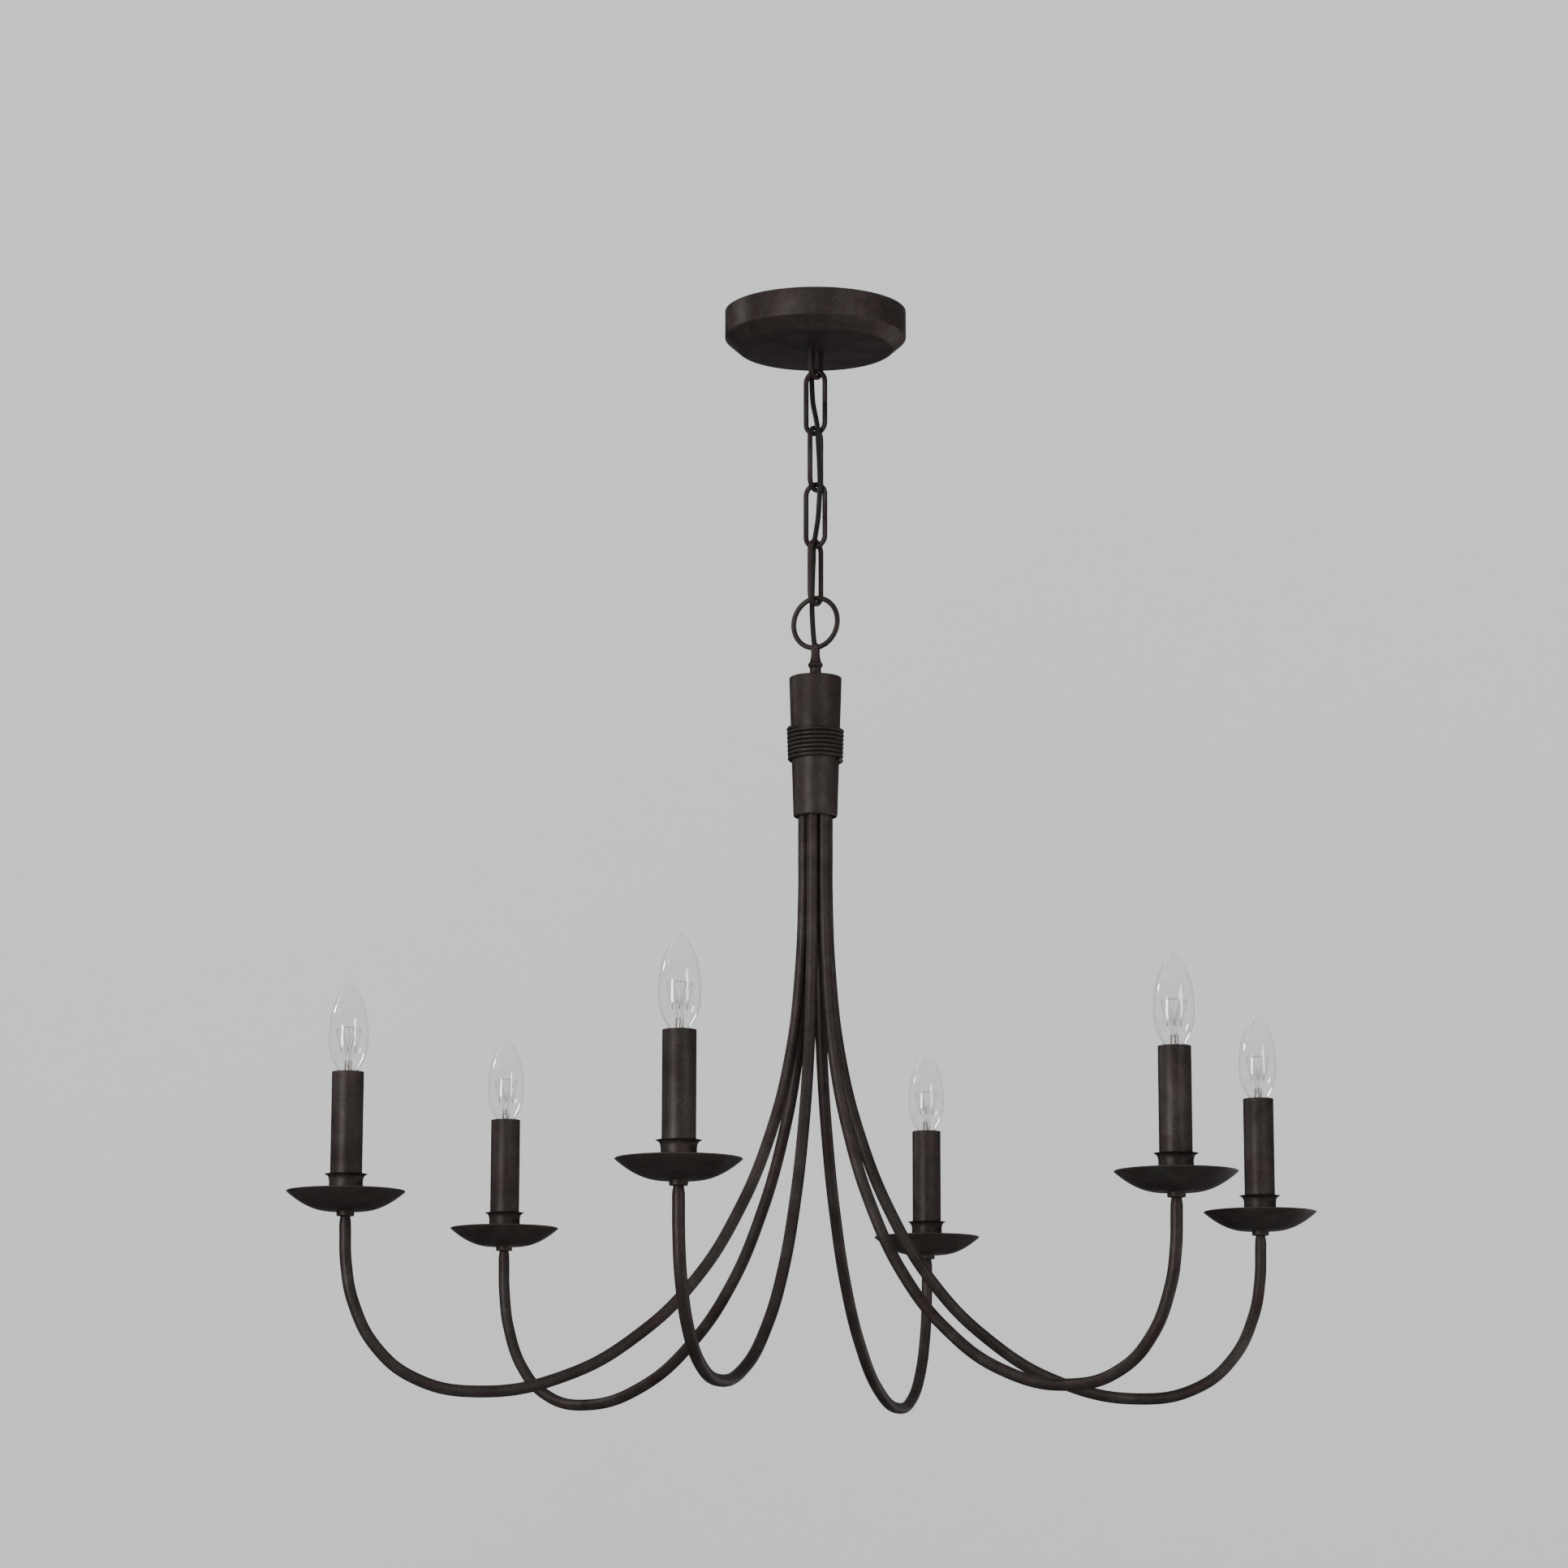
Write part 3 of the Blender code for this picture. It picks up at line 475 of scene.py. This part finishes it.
arms = 6
first_arm = math.radians(-15)
tube = 4.8 * mm
tube_steel = 0.9 * mm
reach = 384.2 * mm
bundle = 9.9 * mm
arm_top = -336.0 * mm
split = -493.8 * mm
lowest = -904.5 * mm
shoulder = -774.9 * mm
drawn_from = shoulder - 1.5 * mm
tip_top = -749.0 * mm
thread = 0.42 * mm
out = reach - bundle
bend = [(bundle, arm_top), (bundle, (hub_bottom + split) / 2)]
for across, down in ((0, 0), (0.0075, 0.164), (0.029, 0.327), (0.074, 0.487), (0.147, 0.645),
                     (0.238, 0.775), (0.358, 0.882), (0.521, 0.967), (0.714, 1)):
    bend.append((bundle + out * across, split + (lowest - split) * down))
for across, up in ((0.847, 0.0765), (0.930, 0.262), (0.9795, 0.527), (0.9965, 0.761)):
    bend.append((bundle + out * across, lowest + (shoulder - lowest) * up))
bend += [(reach, drawn_from)]


def bent_bar(name, points, radius, steps=8, sides=8, ends=True):
    """Bar or tube drawn along points, turned into a mesh."""
    if bpy.context.object and bpy.context.object.mode == "EDIT":
        bpy.ops.object.mode_set(mode="OBJECT")
    bpy.ops.object.select_all(action="DESELECT")
    bpy.ops.curve.primitive_bezier_curve_add()
    bar = bpy.context.object
    bar.name = name
    line = bar.data
    line.dimensions = "3D"
    line.resolution_u = steps
    line.bevel_depth = radius
    line.bevel_resolution = sides
    line.use_fill_caps = ends
    knots = line.splines[0].bezier_points
    knots.add(len(points) - 2)
    for knot, point in zip(knots, points):
        knot.co = point
        knot.handle_left_type = knot.handle_right_type = "AUTO"
    bpy.ops.object.convert(target="MESH")
    return bpy.context.object


def copied(piece, name, turn=0.0, shift=(0, 0, 0)):
    """A copy with its own mesh, turned about the chandelier's axis and set in its place."""
    bpy.ops.object.select_all(action="DESELECT")
    piece.select_set(True)
    bpy.context.view_layer.objects.active = piece
    bpy.ops.object.duplicate(linked=False)
    twin = bpy.context.object
    twin.name = name
    twin.rotation_euler.z = turn
    twin.location = shift
    bpy.ops.object.transform_apply(location=True, rotation=True, scale=True)
    return twin


arm = bent_bar("arm", [(x, 0, z) for x, z in bend], tube, steps=10, sides=8, ends=False)
bpy.ops.object.mode_set(mode="EDIT")
choose(arm, lambda at: at.x > reach - 2 * tube and at.z > drawn_from - 1.1 * mm)
bpy.ops.transform.resize(value=(1, 1, 0), center_override=(reach, 0, drawn_from))
around = tube
height = drawn_from
for radius, rise in ((4.79, 1.2), (4.70, 1.6), (4.55, 1.5), (4.34, 1.4), (4.10, 1.2), (3.85, 1.3)):
    share = radius * mm / around
    bpy.ops.mesh.extrude_region_move(TRANSFORM_OT_translate={"value": (0, 0, rise * mm)})
    bpy.ops.transform.resize(value=(share, share, 1), center_override=(reach, 0, 0))
    around = radius * mm
    height += rise * mm
while height < tip_top - 2 * thread:
    for share in (0.94, 1 / 0.94):
        bpy.ops.mesh.extrude_region_move(TRANSFORM_OT_translate={"value": (0, 0, thread)})
        bpy.ops.transform.resize(value=(share, share, 1), center_override=(reach, 0, 0))
        height += thread
bpy.ops.mesh.select_all(action="SELECT")
bpy.ops.mesh.normals_make_consistent(inside=False)
modify(arm, "SOLIDIFY", thickness=tube_steel, offset=-1)
smooth(arm, 40)
for number in range(arms):
    piece = copied(arm, f"arm_tube_{number + 1}", first_arm + math.tau * number / arms)
    finished(piece, bronze, "dark_bronze", "fixture", f"arm_{number + 1}")
bpy.data.objects.remove(arm, do_unlink=True)

# ---------------------------------------------------------------- drip dishes
# A spun steel saucer sits on each arm's tip to catch wax. It curves up from a small flat middle
# to a thin turned edge, and a short collar below it seats it on the tip.

dish_bottom = -764.3 * mm
dish_radius = 47.15 * mm
dish_depth = 15.5 * mm
dish_flat = 14.0 * mm
dish_steel = 1.0 * mm
tip_hole = 4.15 * mm
collar = 7.05 * mm
collar_bottom = dish_bottom - 4.0 * mm


def on_tips(pattern, name, body, material, slot, stands_for=""):
    """Copies a piece made on the axis to each arm's tip, then removes the pattern."""
    for number in range(arms):
        bearing = first_arm + math.tau * number / arms
        shift = (reach * math.cos(bearing), reach * math.sin(bearing), 0)
        piece = copied(pattern, f"{name}_{number + 1}", shift=shift)
        rides_on = f"{body}_{number + 1}" if body == "lamp" else body
        nodes = [f"{stands_for}_{number + 1}"] if stands_for else []
        finished(piece, material, slot, rides_on, *nodes)
    bpy.data.objects.remove(pattern, do_unlink=True)


under = [(tip_hole, collar_bottom), (collar - 0.5 * mm, collar_bottom),
         (collar, collar_bottom + 0.5 * mm), (collar, dish_bottom - 0.1 * mm)]
over = [(tip_hole, dish_bottom + dish_steel)]
for step in range(19):
    share = step / 18
    radius = dish_flat + (dish_radius - dish_flat) * share
    height = dish_bottom + dish_depth * share**1.9
    under.append((radius, height))
    over.append((radius - 0.6 * dish_steel * share, height + dish_steel * (1 - 0.4 * share)))
dish = turned("dish", under + over[::-1], sides=96, rounding=0.18 * mm)
on_tips(dish, "spun_drip_dish", "fixture", bronze, "dark_bronze", "drip_dish")

# ---------------------------------------------------------------- candle cups
# A short steel cup stands in each dish and holds the candle sleeve upright. Its mouth flares
# out like a trumpet to a thin edge.

cup_bottom = -763.0 * mm
cup_radius = 13.4 * mm
cup_height = 27.8 * mm
cup_mouth = 17.2 * mm
cup_steel = 0.5 * mm
flare_height = 5.5 * mm
flare_start = cup_bottom + cup_height - flare_height
flare = [(0, 0), (0.12, 0.45), (0.42, 0.80), (1, 1)]
curve = eased([(cup_radius + (cup_mouth - cup_radius) * a, flare_start + flare_height * b)
               for a, b in flare], 4)
outside = [(tip_hole, cup_bottom), (cup_radius - 0.5 * mm, cup_bottom),
           (cup_radius, cup_bottom + 0.5 * mm)] + [tuple(point) for point in curve]
inside = [(radius - cup_steel * 0.9, height + cup_steel * 0.15) for radius, height in curve[1:-1]]
inside = inside[::-1] + [(cup_radius - cup_steel, flare_start),
                         (cup_radius - cup_steel, cup_bottom + cup_steel),
                         (tip_hole, cup_bottom + cup_steel)]
cup = turned("cup", outside + inside, sides=80)
on_tips(cup, "flared_candle_cup", "fixture", bronze, "dark_bronze", "candle_cup")

# ---------------------------------------------------------------- candle sleeves
# A plain length of thin steel tube stands in each cup in place of a candle and hides the
# socket. Its upper edge is rolled smooth.

sleeve_bottom = -762.2 * mm
sleeve_top = -653.9 * mm
sleeve_radius = 12.7 * mm
sleeve_steel = 1.0 * mm
sleeve = turned("sleeve", (
    (sleeve_radius - sleeve_steel, sleeve_bottom), (sleeve_radius, sleeve_bottom),
    (sleeve_radius, sleeve_top), (sleeve_radius - sleeve_steel, sleeve_top)),
    sides=80, rounding=0.32 * mm)
on_tips(sleeve, "candle_tube", "fixture", bronze, "dark_bronze", "candle_sleeve")

# ---------------------------------------------------------------- lamp sockets
# A moulded candelabra socket stands on each tip inside the sleeve: a black shell on a narrow
# post, lined with a threaded nickel-plated shell that the lamp screws into.

phenolic, shader, node, link = new_material("black_phenolic")
place = node("ShaderNodeTexCoord").outputs["Object"]
flow = node("ShaderNodeTexNoise", {"Vector": place}, Scale=210, Detail=5, Roughness=0.65)
link(ramp(node, flow.outputs["Fac"], (
    (0.35, (0.010, 0.009, 0.009)), (0.70, (0.030, 0.028, 0.027)))), "Base Color")
dull = node("ShaderNodeMapRange", {"Value": flow.outputs["Fac"]})
dull.inputs["To Min"].default_value = 0.32
dull.inputs["To Max"].default_value = 0.55
link(dull.outputs["Result"], "Roughness")
skin = node("ShaderNodeBump", {"Height": flow.outputs["Fac"]}, Strength=0.1, Distance=0.0002)
link(skin.outputs["Normal"], "Normal")

socket_mouth = sleeve_top - 6.0 * mm
socket_post = 6.2 * mm
socket_out = 8.85 * mm
socket_bore = 7.0 * mm
well = socket_mouth - 24.0 * mm
contact_hole = 0.6 * mm
socket = turned("socket", (
    (tip_hole, sleeve_bottom), (socket_post, sleeve_bottom), (socket_post, well - 5.0 * mm),
    (socket_out, well - 3.0 * mm), (socket_out, socket_mouth), (socket_bore, socket_mouth),
    (socket_bore, well), (contact_hole, well), (contact_hole, well - 3.5 * mm),
    (tip_hole, well - 3.5 * mm)), sides=64, rounding=0.3 * mm)
on_tips(socket, "moulded_socket", "fixture", phenolic, "socket_plastic", "lamp_socket")

nickel, shader, node, link = new_material("nickel_plate")
place = node("ShaderNodeTexCoord").outputs["Object"]
haze = node("ShaderNodeTexNoise", {"Vector": place}, Scale=260, Detail=5, Roughness=0.6)
link(ramp(node, haze.outputs["Fac"], (
    (0.35, (0.52, 0.50, 0.46)), (0.65, (0.70, 0.68, 0.64)))), "Base Color")
dull = node("ShaderNodeMapRange", {"Value": haze.outputs["Fac"]})
dull.inputs["To Min"].default_value = 0.16
dull.inputs["To Max"].default_value = 0.34
link(dull.outputs["Result"], "Roughness")
scuffs = node("ShaderNodeBump", {"Height": haze.outputs["Fac"]}, Strength=0.08, Distance=0.0001)
link(scuffs.outputs["Normal"], "Normal")
shader.inputs["Metallic"].default_value = 1.0

shell = [(6.95 * mm, socket_mouth - 0.4 * mm), (6.95 * mm, well + 3 * mm)]
liner = [(6.65 * mm, well + 3 * mm)]
for step in range(29):
    ripple = 0.13 * mm * math.cos(step * math.pi / 2)
    liner.append((6.5 * mm + ripple, well + 4 * mm + step * 0.62 * mm))
liner.append((6.4 * mm, socket_mouth - 0.4 * mm))
liner = turned("liner", shell + liner, sides=48)
on_tips(liner, "socket_screw_shell", "fixture", nickel, "lamp_nickel")

# ---------------------------------------------------------------- lamps
# A clear torpedo lamp with a candelabra screw base. The glass is blown thin and cemented into
# a rolled nickel-plated base. A glass stem inside it, in a bright strapped collet, carries a
# fine tungsten filament on wire supports.

lamp_at = sleeve_top
glass_wall = 0.55 * mm

glass, shader, node, link = new_material("clear_lamp_glass")
place = node("ShaderNodeTexCoord").outputs["Object"]
ripples = node("ShaderNodeTexNoise", {"Vector": place}, Scale=120, Detail=2, Roughness=0.5)
# The glass's colour darkens towards its outline, where the surface turns away from view: painted
# shade standing in for the dark rim that refraction and reflection give.
rim = node("ShaderNodeLayerWeight", Blend=0.5)
painted_rim_shade = ramp(node, rim.outputs["Facing"], (
    (0.35, (0.955, 0.957, 0.957)), (0.70, (0.87, 0.875, 0.875)), (0.88, (0.12, 0.125, 0.125))))
streak = ramp(node, ripples.outputs["Fac"], (
    (0.3, (0.975, 0.98, 0.98)), (0.7, (1.0, 1.0, 1.0))))
tone = node("ShaderNodeMix", {6: painted_rim_shade, 7: streak}, data_type="RGBA", blend_type="MULTIPLY")
tone.inputs["Factor"].default_value = 1.0
link(tone.outputs[2], "Base Color")
clear = node("ShaderNodeMapRange", {"Value": ripples.outputs["Fac"]})
clear.inputs["To Min"].default_value = 0.0
clear.inputs["To Max"].default_value = 0.02
link(clear.outputs["Result"], "Roughness")
wave = node("ShaderNodeBump", {"Height": ripples.outputs["Fac"]}, Strength=0.02, Distance=0.0002)
link(wave.outputs["Normal"], "Normal")
shader.inputs["Transmission Weight"].default_value = 1.0
shader.inputs["IOR"].default_value = 1.46

outline = eased([(6.35, -3.7), (6.75, -1.8), (7.7, 0.0), (8.9, 2.4), (12.2, 8.3), (14.35, 14.3),
                 (15.55, 20.2), (15.85, 26.1), (15.6, 35.0), (15.0, 41.0), (14.0, 46.9),
                 (12.45, 52.9), (10.1, 58.8), (7.3, 64.4), (5.5, 67.4), (3.5, 70.2),
                 (1.6, 71.9), (0.4, 72.4)], 3)
bulb = turned("bulb", [(radius * mm, lamp_at + height * mm) for radius, height in outline],
              sides=96, ends="tip")
modify(bulb, "SOLIDIFY", thickness=glass_wall, offset=-1)
smooth(bulb, 60)
on_tips(bulb, "lamp_glass", "lamp", glass, "clear_glass", "bulb_glass")

base_profile = [(2.4, -25.6), (3.6, -25.2), (4.9, -23.9), (5.4, -22.9)]
for step in range(33):
    base_profile.append((5.62 + 0.26 * math.cos(step * math.pi / 2), -22.4 + step * 0.44))
base_profile += [(5.6, -7.9), (5.85, -7.4), (5.9, -4.6), (5.7, -4.2), (3.2, -4.1)]
base = turned("base", [(radius * mm, lamp_at + height * mm) for radius, height in base_profile],
              sides=64, ends="caps")
on_tips(base, "lamp_screw_base", "lamp", nickel, "lamp_nickel", "lamp_base")

contact = turned("contact", [(radius * mm, lamp_at + height * mm) for radius, height in (
    (2.6, -25.5), (2.9, -26.0), (2.2, -26.4), (2.0, -27.4), (1.2, -27.95), (0.4, -28.0))],
    sides=40, ends="caps")
on_tips(contact, "lamp_end_contact", "lamp", nickel, "lamp_nickel")

inner_glass, shader, node, link = new_material("stem_glass")
place = node("ShaderNodeTexCoord").outputs["Object"]
pull = node("ShaderNodeTexNoise", {"Vector": place}, Scale=700, Detail=3, Roughness=0.6)
# The stem glass darkens nearly to black at its outline: painted shade standing in for the dark rim
# that refraction gives.
rim = node("ShaderNodeLayerWeight", Blend=0.5)
painted_rim_shade = ramp(node, rim.outputs["Facing"], (
    (0.20, (1.0, 1.0, 1.0)), (0.48, (0.85, 0.86, 0.86)), (0.72, (0.05, 0.05, 0.055))))
grain = ramp(node, pull.outputs["Fac"], (
    (0.3, (0.86, 0.88, 0.88)), (0.7, (0.97, 0.98, 0.98))))
tone = node("ShaderNodeMix", {6: painted_rim_shade, 7: grain}, data_type="RGBA", blend_type="MULTIPLY")
tone.inputs["Factor"].default_value = 1.0
link(tone.outputs[2], "Base Color")
clear = node("ShaderNodeMapRange", {"Value": pull.outputs["Fac"]})
clear.inputs["To Min"].default_value = 0.02
clear.inputs["To Max"].default_value = 0.12
link(clear.outputs["Result"], "Roughness")
shader.inputs["Transmission Weight"].default_value = 0.4
shader.inputs["IOR"].default_value = 1.6

stem_outline = [(1.9, -4.0), (2.2, -3.4), (2.2, 8.2), (1.9, 9.0), (1.25, 9.6), (1.0, 11.0),
                (0.95, 20.8), (1.15, 21.6), (1.15, 22.2), (0.95, 23.0), (0.95, 34.6),
                (1.25, 35.3), (1.3, 35.9), (0.7, 36.4)]
glass_stem = turned("glass_stem", [
    (radius * mm, lamp_at + height * mm) for radius, height in stem_outline],
    sides=32, ends="caps")
on_tips(glass_stem, "lamp_glass_stem", "lamp", inner_glass, "clear_glass")

collet = turned("collet", [(radius * mm, lamp_at + height * mm) for radius, height in (
    (2.4, -4.0), (2.8, -4.0), (2.85, 7.4), (3.05, 7.8), (3.1, 8.3), (2.8, 8.7), (2.4, 8.6))],
    sides=48)
on_tips(collet, "lamp_stem_collet", "lamp", nickel, "lamp_nickel")

tungsten, shader, node, link = new_material("tungsten_wire")
place = node("ShaderNodeTexCoord").outputs["Object"]
drawn = node("ShaderNodeTexNoise", {"Vector": place}, Scale=3000, Detail=2, Roughness=0.6)
link(ramp(node, drawn.outputs["Fac"], (
    (0.3, (0.045, 0.044, 0.042)), (0.7, (0.12, 0.117, 0.112)))), "Base Color")
dull = node("ShaderNodeMapRange", {"Value": drawn.outputs["Fac"]})
dull.inputs["To Min"].default_value = 0.25
dull.inputs["To Max"].default_value = 0.5
link(dull.outputs["Result"], "Roughness")
shader.inputs["Metallic"].default_value = 1.0


def round_stem(bearing, radius, height):
    """A place round the lamp's glass stem, from a bearing in degrees and millimetres."""
    angle = math.radians(bearing)
    return (radius * mm * math.cos(angle), radius * mm * math.sin(angle), lamp_at + height * mm)


wires = []
for bearing in (15, 75, 135, 195, 255, 315):
    wires.append(bent_bar("strap", [
        round_stem(bearing, 2.95, -3.5), round_stem(bearing, 3.0, 2.0),
        round_stem(bearing, 3.05, 7.2), round_stem(bearing, 3.25, 8.4)],
        0.16 * mm, steps=3, sides=1))
for bearing in (30, 210):
    wires.append(bent_bar("lead", [
        round_stem(bearing, 1.9, 8.6), round_stem(bearing, 2.3, 16), round_stem(bearing, 4.2, 26),
        round_stem(bearing, 9.0, 34.6)], 0.17 * mm, steps=6, sides=1))
for bearing in (30, 90, 150, 210, 270, 330):
    wires.append(bent_bar("support", [
        round_stem(bearing, 0.8, 35.6), round_stem(bearing, 5.0, 35.5),
        round_stem(bearing, 9.3, 34.9), round_stem(bearing, 9.6, 34.2)],
        0.11 * mm, steps=4, sides=1))
for bearing in (60, 120, 240, 300):
    wires.append(bent_bar("anchor", [
        round_stem(bearing, 0.8, 21.9), round_stem(bearing, 3.4, 20.4),
        round_stem(bearing, 5.9, 16.6), round_stem(bearing, 6.1, 15.2)],
        0.11 * mm, steps=4, sides=1))
strand = []
for number, bearing in enumerate((30, 60, 90, 120, 150)):
    radius, height, ease = (6.1, 15.0, 1.5) if number % 2 else (9.4, 34.3, -1.5)
    for step in (-3, 0, 3):
        strand.append(round_stem(bearing + step, radius, height + ease * (step != 0)))
for side in (0, 180):
    turned_round = [(x, y, z) if side == 0 else (-x, -y, z) for x, y, z in strand]
    wires.append(bent_bar("filament", turned_round, 0.16 * mm, steps=6, sides=1))
bpy.ops.object.select_all(action="DESELECT")
for piece in wires:
    piece.select_set(True)
bpy.context.view_layer.objects.active = wires[0]
bpy.ops.object.join()
filament = bpy.context.object
bpy.ops.object.mode_set(mode="EDIT")
bpy.ops.mesh.select_all(action="SELECT")
bpy.ops.mesh.normals_make_consistent(inside=False)
smooth(filament, 60)
on_tips(filament, "lamp_filament", "lamp", tungsten, "lamp_nickel")

# ---------------------------------------------------------------- supply cord
# A round black flexible cord comes down through the canopy, is woven through the links and the
# ring, and goes into the top of the hub behind the stem. It is made in six lengths, cut at the
# middles of the links and of the ring.

cord_radius = 2.2 * mm
cord_route = (
    (-6.5, 6.2, -22), (-6.5, 6.2, -33), (-6.8, 5.6, -44), (-6.6, 5.0, -54.5),
    (-4.9, 3.0, -68), (-2.2, 0.0, -80), (2.4, -3.4, -93), (4.95, -5.0, -103),
    (5.8, -5.2, -116), (6.8, -5.1, -133), (7.2, -5.0, -151), (5.4, -3.2, -165),
    (2.4, 0.2, -178), (-2.0, 4.0, -190), (-4.8, 5.4, -200.5), (-5.2, 5.4, -212),
    (-5.8, 5.1, -230), (-6.2, 5.0, -249), (-5.9, 5.1, -262), (-5.2, 5.6, -276),
    (-4.4, 6.4, -287.5), (-4.5, 7.7, -302), (-4.6, 8.1, -314), (-4.6, 8.1, -323),
)

rubber, shader, node, link = new_material("black_cord_jacket")
place = node("ShaderNodeTexCoord").outputs["Object"]
chalk = node("ShaderNodeTexNoise", {"Vector": place}, Scale=320, Detail=5, Roughness=0.65)
link(ramp(node, chalk.outputs["Fac"], (
    (0.35, (0.0040, 0.0041, 0.0044)), (0.68, (0.0110, 0.0110, 0.0115)))), "Base Color")
dull = node("ShaderNodeMapRange", {"Value": chalk.outputs["Fac"]})
dull.inputs["To Min"].default_value = 0.36
dull.inputs["To Max"].default_value = 0.58
link(dull.outputs["Result"], "Roughness")
skin = node("ShaderNodeBump", {"Height": chalk.outputs["Fac"]}, Strength=0.15, Distance=0.0002)
link(skin.outputs["Normal"], "Normal")
shader.inputs["IOR"].default_value = 1.16

route = eased([Vector(point) * mm for point in cord_route], 10)
link_middles = [first_link - link_length / 2 - number * link_pitch for number in range(4)]
cuts = [0, *link_middles, ring_middle, -1]
for number in range(6):
    upper, lower = cuts[number:number + 2]
    whole = [index for index, point in enumerate(route) if lower <= point.z <= upper]
    run = [route[index] for index in whole]
    if whole[0] > 0:
        run.insert(0, route[whole[0] - 1].lerp(run[0], (route[whole[0] - 1].z - upper)
                                               / (route[whole[0] - 1].z - run[0].z)))
    if whole[-1] < len(route) - 1:
        run.append(run[-1].lerp(route[whole[-1] + 1], (run[-1].z - lower)
                                / (run[-1].z - route[whole[-1] + 1].z)))
    piece = bent_bar(f"cord_length_{number + 1}", run, cord_radius, steps=1, sides=8,
                     ends=number in (0, 5))
    smooth(piece, 60)
    piece.data.materials.append(rubber)
    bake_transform(piece)
    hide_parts("supply_cord")

# ---------------------------------------------------------------- room
# A plain pale studio: a floor well below the lamps, a far wall all round, and a few large soft
# lights, the main one ahead and to the left.

room_radius = 5.6
room_floor = -2.4
cove_radius = 1.2

paper, shader, node, link = new_material("pale_paint")
place = node("ShaderNodeTexCoord").outputs["Object"]
upward = node("ShaderNodeSeparateXYZ", {"Vector": place})
rise = node("ShaderNodeMapRange", {"Value": upward.outputs["Z"]})
rise.inputs["From Min"].default_value = room_floor
rise.inputs["From Max"].default_value = -1.0
link(ramp(node, rise.outputs["Result"], (
    (0.0, (0.38, 0.38, 0.382)), (1.0, (0.76, 0.76, 0.765)))), "Base Color")
shader.inputs["Roughness"].default_value = 0.9

cove = [(room_radius - cove_radius + cove_radius * math.sin(math.radians(angle)),
         room_floor + cove_radius - cove_radius * math.cos(math.radians(angle)))
        for angle in range(90, -1, -10)]
room = turned("studio_floor_and_wall", [(room_radius, 2.4), (room_radius, 0.5)] + cove
              + [(2.0, room_floor), (0.5, room_floor)], sides=96, ends="tip")
bpy.ops.object.mode_set(mode="EDIT")
bpy.ops.mesh.select_all(action="SELECT")
bpy.ops.mesh.flip_normals()
bpy.ops.object.mode_set(mode="OBJECT")
room.data.materials.append(paper)


def soft_light(name, place, size, power):
    """A large soft panel that faces the chandelier's lamps."""
    bpy.ops.object.light_add(type="AREA", location=place)
    lamp = bpy.context.object
    lamp.name = name
    lamp.data.shape = "RECTANGLE"
    lamp.data.size, lamp.data.size_y = size
    lamp.data.energy = power
    towards = Vector((0, 0, -0.55)) - Vector(place)
    lamp.rotation_euler = towards.to_track_quat("-Z", "Y").to_euler()


soft_light("key_panel", (-0.35, -3.25, -0.55), (0.65, 1.3), 118)
soft_light("strip_panel", (3.05, -1.1, -0.1), (0.32, 1.7), 38)
soft_light("rim_panel", (0.95, 2.9, -1.7), (0.7, 1.0), 90)
soft_light("small_panel", (-3.1, -0.8, 0.6), (0.25, 0.4), 50)
soft_light("low_panel", (3.0, 1.2, -1.6), (0.3, 0.5), 35)

world = bpy.data.worlds.new("studio_air")
world.use_nodes = True
world.node_tree.nodes["Background"].inputs["Color"].default_value = (0.62, 0.62, 0.625, 1)
world.node_tree.nodes["Background"].inputs["Strength"].default_value = 2.0
bpy.context.scene.world = world
